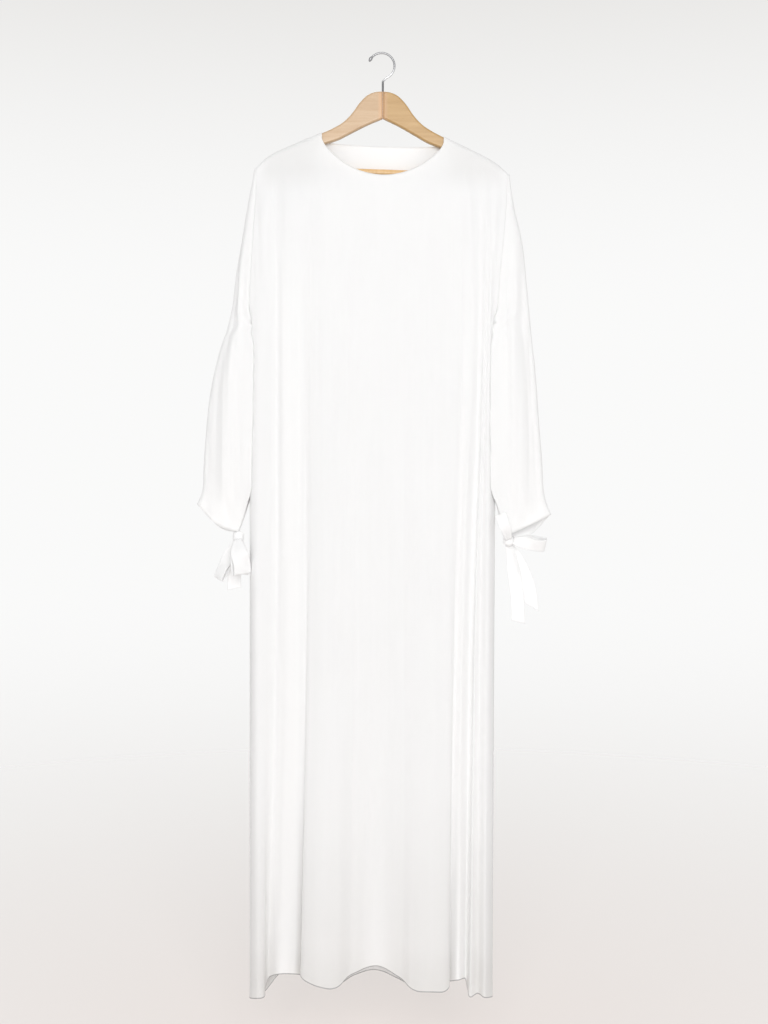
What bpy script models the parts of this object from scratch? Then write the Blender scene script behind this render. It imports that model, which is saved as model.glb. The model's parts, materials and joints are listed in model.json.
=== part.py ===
"""A long pullover abaya, hung flat on a wooden coat hanger with a steel hook.

Axes: +X to the viewer's right, -Y toward the viewer, +Z up.
Origin: the hook's inner surface, straight above the middle of the hanger.
Sizes and tables are in millimetres, and MM turns them into metres.
Left and right are the viewer's.
"""
import math

import bmesh
import bpy
import numpy as np
from mathutils import Vector

MM = 0.001

# Cloth
CLOTH = 1.6
SEAM_GAP = 0.3
# Half the distance between the mid-lines of two sewn edges, whose tilted rims end about SEAM_GAP apart
EDGE_INSET = 0.24
# How far a sleeve's edge stands off the armhole, whose rounded rims end about SEAM_GAP apart
SLEEVE_INSET = 1.0
SLEEVE_SIDE_INSET = 2.1

# Hanger: a symmetric shape whose right end hangs a little lower
TILT = 0.034
ARM_THICKNESS = 12.0
ARM_ROUNDING = 4.0
ARM_END = 214.0
# Toward the arm's end, the wood falls a little away from the cloth
ARM_END_DROP = 30.0
ARM_END_DROP_START = 0.75
ARM_TOP_EDGE = (
    # distance from the middle, height
    (0.0, -67.6), (14.0, -69.0), (28.0, -75.5), (41.0, -88.6),
    (55.0, -108.5), (70.0, -124.0), (88.0, -135.5), (108.3, -145.4),
)
ARM_LOWER_EDGE = (
    # distance from the middle, height
    (0.0, -115.3), (27.0, -127.5), (56.0, -143.0), (79.0, -155.5),
    (100.0, -163.5), (150.0, -185.5), (190.0, -203.0),
)
# Distances from the middle at which the arm's outline has a point
NECK_STEPS = (0.0, 8.0, 16.0, 24.0, 32.0, 40.0, 48.0, 56.0, 66.0, 78.0, 92.0, 108.3)
SHOULDER_STEPS = (130.0, 152.0, 174.0, 190.0, 200.0, 206.0)
LOWER_STEPS = (190.0, 170.0, 150.0, 125.0, 100.0, 79.0, 56.0, 27.0, 0.0)
# The arm's nose: a rounded outer end that reaches down past the bar
NOSE_INNER = 200.2
NOSE_TOP = -205.5
NOSE_BOTTOM = -221.0
NOSE_FOOT = 0.5
NOSE_HALF_WIDTH = 8.0
NOSE_HALF_HEIGHT = 12.0
NOSE_ANGLES = (40, 15, -15, -45, -75)
BAR_DIAMETER = 12.0
BAR_HEIGHT = -211.5
BAR_END_GAP = 0.6
BAR_SIDES = 28
HOOK_WIRE = 3.8
HOOK_RADIUS = 23.0
HOOK_CENTRE_X = -2.3
HOOK_CENTRE_Z = -21.0
HOOK_START_ANGLE = -68.0
HOOK_END_ANGLE = 160.0
HOOK_STEPS = 22
STEM_FOOT = -67.3
STEM_TOP = -48.5
# Wire widths at the last three points of the hook, which make its small ball tip
HOOK_TIP_WIDTHS = (4.4, 6.4, 4.8)

# Shoulder line: where the cloth lies over the hanger's arms
SEAT = 1.7
NECK_HALF = 108.3
NECK_POINT_HEIGHT = -143.7
SHOULDER_SLOPE = 0.455
TIP_DROP = 15.5
TIP_REACH = 116.0
TIP_X = {"left": -224.0, "right": 221.0}

# Neck, armholes and seams. A depth below this counts as none
NO_DEPTH = 0.01
FRONT_NECK_DEPTH = 64.0
FRONT_NECK_ROUNDNESS = 2 / 3
BACK_NECK_DEPTH = 6.0
BACK_NECK_ROUNDNESS = 1 / 2
FOLD_OVER_RADIUS = 10.0
YOKE_DROP = 120.0
UNDERARM_HEIGHT = -480.0
UNDERARM_X = {"left": -236.1, "right": 202.2}
ARMHOLE_BEND = 0.8
SIDE_SEAM_Y = 5.0
CHEST_HEIGHT = -442.0
KNEE_HEIGHT = -970.0

# Rows down a panel: shares of the way from its top edge to the underarm, then to the hem
UPPER_ROWS = (0, .0005, .004, .015, .036, .09, .19, .35, .55, .74, .86, .94, .98, 1)
LOWER_ROWS = (.2, .42, .66, 1)
# The neck's edge runs straight down from a neck point to this row, and then round the scoop
NECK_ROW = 4
# Where the columns beside a neck point lie, as shares of the way to the next fold inside the neck
NECK_SHARES = (.08, .3, .62)
# Where the hem's steps are longer than this, a column is added between two folds
FRONT_SPACING = 17.0
BACK_SPACING = 20.0
MOST_COLUMNS = 2

FOLD_COLUMNS = ("name", "top_x", "chest_x", "chest_y", "knee_x", "knee_y", "hem_x", "hem_y", "hem_z")

FRONT_FOLDS = (
    # name, top x, chest x, chest y, knee x, knee y, hem x, hem y, hem z
    ("side_left", -224, -236, -22, -237, 5, -237, 5, -1680),
    ("roll_outer_left", -219, -228, -24, -233, -16, -233, -20, -1673),
    ("roll_crest_left", -214, -219, -27, -222, -28, -220, -34, -1668),
    ("roll_inner_left", -206, -208, -28, -209, -25, -209, -28, -1667),
    ("roll_back_left", -198, -198, -25, -198, -20, -209, -9, -1659),
    ("valley_left", -188, -188, -20, -187, -14, -202, -2, -1643),
    ("ridge_crest_left", -170, -172, -27, -171, -25, -181, -18, -1631),
    ("ridge_inner_left", -149, -152, -28, -150, -25, -160, -15, -1632),
    ("ridge_return_left", -136, -139, -27, -138, -21, -139, -4, -1639),
    ("under_panel_left", -127, -131, -27, -133, -22, -134, -15, -1640),
    ("panel_edge_left", -120, -124, -27.5, -130, -27, -144, -31, -1628),
    ("panel_front_left", -114, -116, -28, -123, -31, -136, -43, -1633),
    ("crest_left", -108.3, -100, -29, -105, -35, -111, -52, -1641),
    ("flank_left", -93.8, -73, -29, -76, -33, -83, -46, -1645),
    ("flank_in_left", -54.2, -45, -28, -45, -28, -56, -28, -1629),
    ("arch", 0, -7, -27, -8, -24, -12, -14, -1618),
    ("flank_in_right", 54.2, 32, -28, 27, -27, 28, -26, -1633),
    ("flank_right", 93.8, 65, -29, 55, -31, 54, -42, -1650),
    ("crest_right", 108.3, 97, -29, 86, -34, 84, -48, -1651),
    ("panel_front_right", 116, 122, -28, 116, -31, 107, -42, -1653),
    ("panel_edge_right", 123, 133, -27, 123, -28, 117, -30, -1647),
    ("under_panel_right", 131, 140, -26.5, 127, -23, 111, -17, -1645),
    ("ridge_return_right", 139, 148, -27, 133, -22, 118, -13, -1646),
    ("ridge_crest_right", 149, 158, -27.5, 141, -26, 132, -25, -1639),
    ("valley_right", 162, 168, -23, 154, -15, 146, -8, -1643),
    ("roll_back_right", 172, 175, -22, 161, -17, 150, -14, -1657),
    ("roll_inner_right", 183, 180, -26, 164, -26, 153, -30, -1667),
    ("notch_right", 194, 185, -24.5, 173, -20, 167, -21, -1664),
    ("roll_crest_right", 204, 190, -26.5, 183, -27, 178, -32, -1667),
    ("roll_outer_right", 214, 196, -23, 195, -14, 192, -14, -1673),
    ("side_right", 221, 202, -22, 199, 5, 195, 5, -1678),
)

BACK_FOLDS = (
    # name, top x, chest x, chest y, knee x, knee y, hem x, hem y, hem z
    ("side_left", -224, -236, 15, -237, 5, -237, 5, -1680),
    ("edge_left", -219, -233, 15, -235, 13, -235, 15, -1684),
    ("fold_1", -205, -217, 17, -217, 21, -214, 26, -1680),
    ("fold_2", -184, -190, 16, -186, 16, -182, 14, -1640),
    ("fold_3", -150, -159, 18, -156, 23, -155, 27, -1646),
    ("fold_4", -108.3, -123, 16, -122, 16, -122, 14, -1664),
    ("fold_5", -93.8, -89, 18, -88, 23, -88, 27, -1672),
    ("fold_6", -54.2, -52, 16, -52, 17, -53, 14, -1646),
    ("fold_7", 0, -12, 18, -12, 23, -14, 27, -1640),
    ("fold_8", 54.2, 25, 16, 24, 17, 25, 14, -1650),
    ("fold_9", 93.8, 63, 18, 60, 23, 60, 27, -1673),
    ("fold_10", 108.3, 103, 16, 97, 17, 95, 14, -1671),
    ("fold_11", 147, 140, 18, 133, 23, 130, 27, -1650),
    ("fold_12", 180, 171, 16, 164, 17, 158, 15, -1655),
    ("fold_13", 203, 190, 17, 184, 21, 180, 24, -1681),
    ("edge_right", 214, 200, 15, 198, 13, 194, 15, -1684),
    ("side_right", 221, 202, 15, 199, 5, 195, 5, -1678),
)

# Sleeves: the outer outline above the underarm, and the rings below it
SLEEVE_OUTLINE = {
    # height, outer x
    "left": ((-200, -227.6), (-212, -229), (-224, -231), (-245, -235), (-270, -239.5), (-297, -244),
             (-323, -248), (-348, -252), (-386, -258), (-453, -265), (-480, -270)),
    "right": ((-210, 225), (-224, 226), (-241, 228), (-264, 231.5), (-284, 235), (-302, 239.5),
              (-321, 244), (-345, 248), (-402, 253), (-455, 257), (-480, 259)),
}
RING_COLUMNS = ("outer_x", "outer_z", "inner_x", "inner_z", "front_in", "front_out",
                "back_in", "back_out", "sag_front", "sag_back")
SLEEVE_RINGS = {
    # outer x, outer z, inner x, inner z, front y at the inner and outer side, back y likewise,
    # and how far the front and back of the ring sag below a straight line
    "left": (
        (-281, -512, -239.5, -512, -25, -23, 18, 18, 0, 0),
        (-292, -548, -239.8, -548, -26, -24, 19, 19, 0, 0),
        (-302, -595, -240.0, -595, -26, -24, 20, 20, 0, 0),
        (-309, -650, -240.0, -650, -26, -24, 21, 20, 0, 0),
        (-314, -705, -240.0, -708, -25, -23, 21, 20, 0, 0),
        (-316, -745, -240.0, -755, -22, -22, 19, 20, 0, 0),
        (-317, -770, -241.0, -792, -17, -21, 15, 20, 1, 1),
        (-320, -784, -245.0, -817, -12, -20, 11, 20, 4, 4),
        (-325, -794, -251.0, -835, -8, -20, 8, 20, 8, 8),
        (-329, -801, -257.0, -850, -6, -20, 7, 20, 13, 12),
    ),
    "right": (
        (262, -512, 204.5, -512, -25, -23, 18, 18, 0, 0),
        (266, -548, 204.4, -548, -26, -24, 19, 19, 0, 0),
        (270, -595, 204.3, -595, -26, -24, 20, 20, 0, 0),
        (274, -650, 204.2, -650, -26, -24, 21, 20, 0, 0),
        (278.5, -705, 204.0, -708, -25, -23, 21, 20, 0, 0),
        (281, -745, 204.0, -755, -22, -22, 19, 20, 0, 0),
        (283, -772, 204.5, -796, -17, -21, 15, 20, 0, 2),
        (287, -792, 208.0, -822, -12, -20, 11, 20, 0, 7),
        (292, -806, 214.0, -842, -8, -20, 8, 20, 0, 13),
        (298, -820, 220.0, -857.6, -6, -20, 7, 20, 0, 20),
    ),
}
SLEEVE_COLUMNS = 28
SLEEVE_CORNER = 2.4
RING_SAMPLES = 24
# Shares of the armhole over which the sleeve leaves it sideways, at the underarm and at the shoulder tip
UNDERARM_SHARE = 0.5
SHOULDER_SHARE = 0.08
# Soft folds round a sleeve: they grow below one height and halve below another, and end at the armhole
SLEEVE_WAVES = 4
SLEEVE_WAVE_HEIGHT = 4.0
WAVE_START = -300.0
WAVE_GROWTH = 220.0
WAVE_CUFF_START = -740.0
WAVE_CUFF_LENGTH = 90.0
WAVE_END_SHARE = 0.2

# Tie straps: the knots, and the routes of loops and tails from them
STRAP = 1.8
# Columns across a strap, as shares of its width
STRAP_COLUMNS = (-0.5, -0.17, 0.17, 0.5)
STRAP_STEPS = 2
KNOT_SIDES = 14
KNOT_RINGS = 9
KNOT_HALF = (9.0, 8.2, 8.2)
# How square the knot is, and how deep the three grooves of its wrap are
KNOT_SQUARENESS = 0.85
KNOT_GROOVE = 0.07
KNOT = {"left": (-257.0, 0.0, -858.6), "right": (223.7, 0.0, -865.2)}
LOOPS = (
    # node, side, direction x and z, y of its foot and of its middle, start, length, width, half opening
    ("tie_left_loop_inner", "left", 0.14, -1.0, -9.8, -28.0, 5.0, 66.0, 34.0, 4.6),
    ("tie_left_loop_outer", "left", -0.42, -0.9, 3.0, 4.5, 8.5, 84.0, 24.0, 3.4),
    ("tie_right_loop_inner", "right", -0.36, 1.0, -10.6, -27.0, 2.0, 49.0, 20.0, 3.4),
    ("tie_right_loop_outer", "right", 1.0, -0.12, -2.0, -2.0, 9.0, 66.0, 25.0, 5.0),
)
TAILS = (
    # node, side, end x and z from the knot, depth y at the start and end, start z, width
    ("tie_left_tail_front", "left", -9.0, -96.0, 9.0, 13.0, -3.0, 24.0),
    ("tie_left_tail_back", "left", 3.0, -70.0, 11.1, 18.0, -3.0, 26.0),
    ("tie_right_tail_front", "right", 18.0, -149.0, 9.0, 6.0, -3.0, 24.0),
    ("tie_right_tail_back", "right", 43.0, -127.0, 11.1, 14.0, -3.0, 25.0),
)
# A strap's width where the knot gathers it, and the shares of its length over which it opens out
GATHERED_WIDTH = 11.0
LOOP_OPENS_BY = 0.6
TAIL_OPENS_BY = 0.35
LOOP_PROFILE = (
    # share of the length, share of the half opening
    (0.45, -1.0), (0.9, -1.0), (1.0, 0.0), (0.9, 1.0), (0.45, 1.0),
)
LOOP_FOOT_OPENING = 0.45
TAIL_PROFILE = (
    # share of the way down, share of the sideways shift
    (0.0, 0.0), (0.15, 0.3), (0.4, 0.62), (0.7, 0.9), (1.0, 1.0),
)

COLOURS = {
    # base colour, roughness, metallic
    "cloth": ((0.93, 0.925, 0.905), 0.75, 0.0),
    "wood": ((0.72, 0.52, 0.32), 0.5, 0.0),
    "steel": ((0.62, 0.62, 0.63), 0.25, 1.0),
}


def smoothstep(value):
    """0 below 0, 1 above 1, and a smooth rise between."""
    value = np.clip(value, 0.0, 1.0)
    return value * value * (3 - 2 * value)


def across(values, place):
    """A Catmull-Rom curve through a table's rows, read at a fractional row number."""
    last = len(values) - 1
    first = min(int(math.floor(place)), last - 1)
    share = place - first
    before = values[max(first - 1, 0)]
    start = values[first]
    end = values[first + 1]
    after = values[min(first + 2, last)]
    start_slope = (end - before) / 2
    end_slope = (after - start) / 2
    return (
        start * (2 * share ** 3 - 3 * share ** 2 + 1)
        + start_slope * (share ** 3 - 2 * share ** 2 + share)
        + end * (3 * share ** 2 - 2 * share ** 3)
        + end_slope * (share ** 3 - share ** 2)
    )


def smooth_through(position, stations, values):
    """A smooth curve through values at uneven stations, read at one position."""
    stations = np.asarray(stations, float)
    values = np.asarray(values, float)
    position = min(max(position, stations[0]), stations[-1])
    slopes = np.gradient(values, stations)
    index = min(int(np.searchsorted(stations, position, side="right")) - 1, len(stations) - 2)
    span = stations[index + 1] - stations[index]
    share = (position - stations[index]) / span
    return (
        values[index] * (2 * share ** 3 - 3 * share ** 2 + 1)
        + slopes[index] * span * (share ** 3 - 2 * share ** 2 + share)
        + values[index + 1] * (3 * share ** 2 - 2 * share ** 3)
        + slopes[index + 1] * span * (share ** 3 - share ** 2)
    )


def shoulder_height(x):
    """Height of the cloth's shoulder line at x, carried level across the neck."""
    distance = max(abs(x) - NECK_HALF, 0.0)
    drop = SHOULDER_SLOPE * distance + TIP_DROP * (distance / TIP_REACH) ** 8
    return NECK_POINT_HEIGHT - drop - TILT * x


def in_neck(x):
    return abs(x) < NECK_HALF - NO_DEPTH


def scoop_height(x, neck):
    """Height of the neck's edge between the neck points, for a neck of the given depth and roundness."""
    depth, roundness = neck
    corner = UPPER_ROWS[NECK_ROW] * (NECK_POINT_HEIGHT - UNDERARM_HEIGHT)
    return shoulder_height(x) - corner - depth * (1 - (x / NECK_HALF) ** 2) ** roundness


def depth_from_hanger(below, resting_depth):
    """How far the cloth stands from the hanger's middle plane, at a depth below the shoulder line."""
    if below < FOLD_OVER_RADIUS:
        return math.sqrt(max(FOLD_OVER_RADIUS ** 2 - (FOLD_OVER_RADIUS - below) ** 2, 0.0))
    spread = smoothstep((below - FOLD_OVER_RADIUS) / YOKE_DROP)
    return FOLD_OVER_RADIUS + (resting_depth - FOLD_OVER_RADIUS) * float(spread)


def armhole_x(side, share):
    """x of the armhole edge, at a share of the way from the shoulder tip to the underarm."""
    return TIP_X[side] + (UNDERARM_X[side] - TIP_X[side]) * float(smoothstep(share))


def armhole_y(side, share, resting_y):
    """y of the armhole edge: over the hanger, down, and round to the side seam."""
    top = shoulder_height(TIP_X[side])
    below = share * (top - UNDERARM_HEIGHT)
    y = math.copysign(depth_from_hanger(below, abs(resting_y)), resting_y)
    bend = min(max((share - ARMHOLE_BEND) / (1 - ARMHOLE_BEND), 0.0), 1.0)
    return y + (SIDE_SEAM_Y - y) * (1 - math.sqrt(1 - bend * bend))


def panel_rows(x, hem, neck):
    """Heights of a panel column's rows. Inside the neck, the rows above the scoop's edge lie on it."""
    top = shoulder_height(x)
    upper = [top + share * (UNDERARM_HEIGHT - top) for share in UPPER_ROWS]
    if in_neck(x):
        edge = scoop_height(x, neck)
        first = UPPER_ROWS[NECK_ROW]
        upper = [edge + max(share - first, 0.0) / (1 - first) * (UNDERARM_HEIGHT - edge)
                 for share in UPPER_ROWS]
    lower = [UNDERARM_HEIGHT + share * (hem - UNDERARM_HEIGHT) for share in LOWER_ROWS]
    return upper + lower


def edge_column(fold, side, face, neck):
    """The panel's side edge: the armhole, then the side seam."""
    resting_y = fold["chest_y"]
    gap = face * EDGE_INSET
    heights = panel_rows(fold["top_x"], fold["hem_z"], neck)
    points = []
    for row, z in enumerate(heights):
        if row < len(UPPER_ROWS):
            share = UPPER_ROWS[row]
            x = armhole_x(side, share)
            y = armhole_y(side, share, resting_y)
        else:
            stations = (fold["hem_z"], KNEE_HEIGHT, UNDERARM_HEIGHT)
            x = smooth_through(z, stations, (fold["hem_x"], fold["knee_x"], UNDERARM_X[side]))
            y = SIDE_SEAM_Y
        points.append((x, y + gap, z))
    return np.array(points)


def fold_column(fold, face, neck):
    """One line down the panel, along a fold's crest or valley or between two of them."""
    heights = panel_rows(fold["top_x"], fold["hem_z"], neck)
    top = heights[0]
    points = []
    for z in heights:
        x = smooth_through(z, (fold["hem_z"], KNEE_HEIGHT, CHEST_HEIGHT, top),
                           (fold["hem_x"], fold["knee_x"], fold["chest_x"], fold["top_x"]))
        resting = smooth_through(z, (fold["hem_z"], KNEE_HEIGHT, CHEST_HEIGHT),
                                 (fold["hem_y"], fold["knee_y"], fold["chest_y"]))
        below = shoulder_height(fold["top_x"]) - z
        if below < FOLD_OVER_RADIUS + YOKE_DROP:
            y = face * depth_from_hanger(below, abs(resting))
        else:
            y = resting
        if below < NO_DEPTH:
            y = face * EDGE_INSET
        points.append((x, y, z))
    return np.array(points)


def fold_steps(values, spacing):
    """Fractional fold numbers of the panel's columns, closer where the hem is longer and beside the neck."""
    hem_x = FOLD_COLUMNS.index("hem_x") - 1
    hem_y = FOLD_COLUMNS.index("hem_y") - 1
    places = []
    for number in range(len(values) - 1):
        step = values[number + 1] - values[number]
        places.append(number)
        if values[number][0] == -NECK_HALF:
            places.extend(number + share for share in NECK_SHARES)
        elif values[number + 1][0] == NECK_HALF:
            places.extend(number + 1 - share for share in reversed(NECK_SHARES))
        else:
            length = math.hypot(step[hem_x], step[hem_y])
            parts = min(1 + int(length / spacing), MOST_COLUMNS)
            places.extend(number + part / parts for part in range(1, parts))
    return places + [len(values) - 1]


def panel_grid(folds, face, neck, spacing):
    """Points of a front or back panel, as columns from left to right of rows from top to hem."""
    values = np.array([row[1:] for row in folds], float)
    last = len(folds) - 1
    named = [dict(zip(FOLD_COLUMNS[1:], row)) for row in values]
    left_edge = edge_column(named[0], "left", face, neck)
    right_edge = edge_column(named[last], "right", face, neck)
    first_fold = fold_column(named[1], face, neck)
    last_fold = fold_column(named[last - 1], face, neck)
    columns = []
    for place in fold_steps(values, spacing):
        if place < 1:
            columns.append(blend_edge(left_edge, first_fold, place))
        elif place > last - 1:
            columns.append(blend_edge(right_edge, last_fold, last - place))
        else:
            fold = dict(zip(FOLD_COLUMNS[1:], across(values, place)))
            columns.append(fold_column(fold, face, neck))
    return np.array(columns)


def blend_edge(edge, fold, share):
    """A column between the side edge and the first fold, rounded outward."""
    weights = np.array((share * share, share, share))
    return edge + (fold - edge) * weights


def sleeve_rings(side):
    """Rows of ring values from the shoulder tip to the cuff, and each row's place on the armhole."""
    top = shoulder_height(TIP_X[side])
    outline = sorted(SLEEVE_OUTLINE[side])
    outline_z = [height for height, _ in outline]
    outline_x = [x for _, x in outline]
    outward = -1 if side == "left" else 1
    rings = []
    for share in UPPER_ROWS[2:]:
        z = top + share * (UNDERARM_HEIGHT - top)
        near_underarm = smoothstep((share - UNDERARM_SHARE) / (1 - UNDERARM_SHARE))
        near_shoulder = smoothstep(1 - share / SHOULDER_SHARE)
        side_share = float(near_underarm + near_shoulder / 2)
        clearance = SLEEVE_INSET + (SLEEVE_SIDE_INSET - SLEEVE_INSET) * side_share
        inner_x = armhole_x(side, share) + outward * clearance
        outer_x = smooth_through(z, outline_z, outline_x)
        front = armhole_y(side, min(share, ARMHOLE_BEND), FRONT_FOLDS[0][3])
        back = armhole_y(side, min(share, ARMHOLE_BEND), BACK_FOLDS[0][3])
        front_edge = armhole_y(side, share, FRONT_FOLDS[0][3])
        back_edge = armhole_y(side, share, BACK_FOLDS[0][3])
        rings.append(((outer_x, z, inner_x, z, front, front, back, back, 0, 0), front_edge, back_edge))
    for row in SLEEVE_RINGS[side]:
        rings.append((row, SIDE_SEAM_Y, SIDE_SEAM_Y))
    return rings


def ring_path(ring, front_edge, back_edge):
    """A fine line round one ring, from the front armhole edge to the back one."""
    value = dict(zip(RING_COLUMNS, ring))
    middle = (value["front_out"] + value["back_out"]) / 2
    points = [(value["inner_x"], front_edge, value["inner_z"])]

    def add_side(inner_y, outer_y, sag, shares):
        for share in shares:
            x = value["inner_x"] + (value["outer_x"] - value["inner_x"]) * share
            z = value["inner_z"] + (value["outer_z"] - value["inner_z"]) * share
            edge = inner_y + (outer_y - inner_y) * share
            roundness = (1 - share ** SLEEVE_CORNER) ** (1 / SLEEVE_CORNER)
            points.append((x, middle + (edge - middle) * roundness, z - sag * math.sin(math.pi * share)))

    eased = [math.sin(math.pi / 2 * number / RING_SAMPLES) for number in range(RING_SAMPLES + 1)]
    add_side(value["front_in"], value["front_out"], value["sag_front"], eased)
    add_side(value["back_in"], value["back_out"], value["sag_back"], reversed(eased[:-1]))
    points.append((value["inner_x"], back_edge, value["inner_z"]))
    return np.array(points, float)


def evenly_spaced(path, count):
    """Points at even distances along a fine line."""
    steps = np.linalg.norm(np.diff(path, axis=0), axis=1)
    reached = np.concatenate(([0.0], np.cumsum(steps)))
    wanted = np.linspace(0.0, reached[-1], count)
    return np.stack([np.interp(wanted, reached, path[:, axis]) for axis in range(3)], axis=1)


def sleeve_grid(side, count):
    """Points of a sleeve, as rings from the shoulder to the cuff, each from its front edge to its back."""
    rows = []
    for ring, front_edge, back_edge in sleeve_rings(side):
        points = evenly_spaced(ring_path(ring, front_edge, back_edge), count + 1)
        along = np.gradient(points, axis=0)
        outward = np.stack([along[:, 1], -along[:, 0], np.zeros(count + 1)], axis=1)
        if side == "left":
            outward = -outward
        outward /= np.maximum(np.linalg.norm(outward, axis=1, keepdims=True), 1e-6)
        share = np.linspace(0.0, 1.0, count + 1)
        mean_z = (ring[1] + ring[3]) / 2
        growth = smoothstep((WAVE_START - mean_z) / WAVE_GROWTH)
        growth *= 1 - smoothstep((WAVE_CUFF_START - mean_z) / WAVE_CUFF_LENGTH) / 2
        ends = smoothstep(share / WAVE_END_SHARE) * smoothstep((1 - share) / WAVE_END_SHARE)
        ripple = SLEEVE_WAVE_HEIGHT * float(growth) * ends * np.cos(2 * math.pi * SLEEVE_WAVES * share)
        rows.append(points + outward * ripple[:, None])
    return rows


def collection_named(name):
    collection = bpy.data.collections.new(name)
    bpy.context.scene.collection.children.link(collection)
    return collection


def material_named(kind):
    """The material of one kind: cloth, wood or steel."""
    if kind in bpy.data.materials:
        return bpy.data.materials[kind]
    colour, roughness, metallic = COLOURS[kind]
    material = bpy.data.materials.new(kind)
    material.use_nodes = True
    shader = material.node_tree.nodes["Principled BSDF"]
    shader.inputs["Base Color"].default_value = (*colour, 1.0)
    shader.inputs["Roughness"].default_value = roughness
    shader.inputs["Metallic"].default_value = metallic
    return material


def add_object(name, data, kind, collection):
    new = bpy.data.objects.new(name, data)
    collection.objects.link(new)
    material = material_named(kind).copy()
    material.name = name + "_" + kind
    data.materials.append(material)
    return new


def sheet_object(name, vertices, faces, thickness, collection):
    """A cloth wall: an open sheet that Solidify thickens evenly to both sides."""
    used = sorted({corner for face in faces for corner in face})
    number = {corner: place for place, corner in enumerate(used)}
    mesh = bpy.data.meshes.new(name)
    mesh.from_pydata([tuple(vertices[corner] * MM) for corner in used], [],
                     [[number[corner] for corner in face] for face in faces])
    mesh.shade_smooth()
    new = add_object(name, mesh, "cloth", collection)
    wall = new.modifiers.new("wall", "SOLIDIFY")
    wall.thickness = thickness * MM
    wall.offset = 0.0
    return new


def grid_faces(columns, rows, flip):
    """Quads of a grid of columns, each with the same number of rows."""
    faces = []
    for column in range(columns - 1):
        for row in range(rows - 1):
            corner = column * rows + row
            face = (corner, corner + 1, corner + rows + 1, corner + rows)
            faces.append(face[::-1] if flip else face)
    return faces


def add_panel(name, folds, face, neck, spacing, collection):
    """A front or back panel, with nothing above the neck's scoop."""
    grid = panel_grid(folds, face, neck, spacing)
    columns, rows = grid.shape[:2]
    open_column = [in_neck(column[0][0]) for column in grid]
    faces = []
    for face_points in grid_faces(columns, rows, face > 0):
        row = min(corner % rows for corner in face_points)
        inside = any(open_column[corner // rows] for corner in face_points)
        if row >= NECK_ROW or not inside:
            faces.append(face_points)
    sheet_object(name, grid.reshape(-1, 3), faces, CLOTH, collection)


def add_sleeve(name, side, collection):
    """A sleeve: open along the armhole, and a closed tube from the underarm to the cuff."""
    rows = sleeve_grid(side, SLEEVE_COLUMNS)
    upper = len(UPPER_ROWS) - 2
    vertices = []
    starts = []
    for number, row in enumerate(rows):
        starts.append(len(vertices))
        closed = number >= upper - 1
        vertices.extend(row[:-1] if closed else row)
    faces = []
    for number in range(len(rows) - 1):
        for column in range(SLEEVE_COLUMNS):
            upper_next = column + 1
            lower_next = column + 1
            if number >= upper - 1:
                upper_next %= SLEEVE_COLUMNS
            if number + 1 >= upper - 1:
                lower_next %= SLEEVE_COLUMNS
            face = (
                starts[number] + column, starts[number] + upper_next,
                starts[number + 1] + lower_next, starts[number + 1] + column,
            )
            faces.append(face if side == "left" else face[::-1])
    sheet_object(name, vertices, faces, CLOTH, collection)


def strap_object(name, route, widths, sideways, collection):
    """A flat strap along a route, with its width along one direction."""
    route = np.array(route, float)
    widths = np.array(widths, float)[:, None]
    sideways = np.array(sideways, float)
    sideways /= np.linalg.norm(sideways)
    columns = []
    for number in range(STRAP_STEPS * (len(route) - 1) + 1):
        place = number / STRAP_STEPS
        centre = across(route, place)
        width = float(across(widths, place)[0])
        columns.append([centre + sideways * width * share for share in STRAP_COLUMNS])
    grid = np.array(columns)
    faces = grid_faces(len(grid), len(STRAP_COLUMNS), False)
    sheet_object(name, grid.reshape(-1, 3), faces, STRAP, collection)


def add_loop(name, side, toward_x, toward_z, foot_y, middle_y, start, length, width, opening, collection):
    """A bow loop: out from the knot, round its end and back."""
    toward = np.array((toward_x, 0.0, toward_z))
    toward /= np.linalg.norm(toward)
    knot = np.array(KNOT[side])
    outward = np.array((0.0, 1.0, 0.0))
    foot = start / length
    profile = [(foot, -LOOP_FOOT_OPENING), *LOOP_PROFILE, (foot, LOOP_FOOT_OPENING)]
    route = []
    for share, side_share in profile:
        y = foot_y if share == foot else middle_y
        route.append(knot + toward * length * share + outward * (y + opening * side_share))
    widths = [GATHERED_WIDTH + (width - GATHERED_WIDTH) * float(smoothstep(share / LOOP_OPENS_BY))
              for share, _ in profile]
    sideways = np.cross(toward, outward)
    strap_object(name, route, widths, sideways, collection)


def add_tail(name, side, end_x, end_z, start_y, end_y, start_z, width, collection):
    """A free strap end, hanging behind the knot."""
    knot = np.array(KNOT[side])
    route = []
    widths = []
    for share, shift in TAIL_PROFILE:
        y = start_y + (end_y - start_y) * share
        z = start_z + (end_z - start_z) * share
        route.append(knot + np.array((end_x * shift, y, z)))
        opened = float(smoothstep(share / TAIL_OPENS_BY))
        widths.append(GATHERED_WIDTH + (width - GATHERED_WIDTH) * opened)
    strap_object(name, route, widths, (1.0, 0.0, 0.0), collection)


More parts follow.
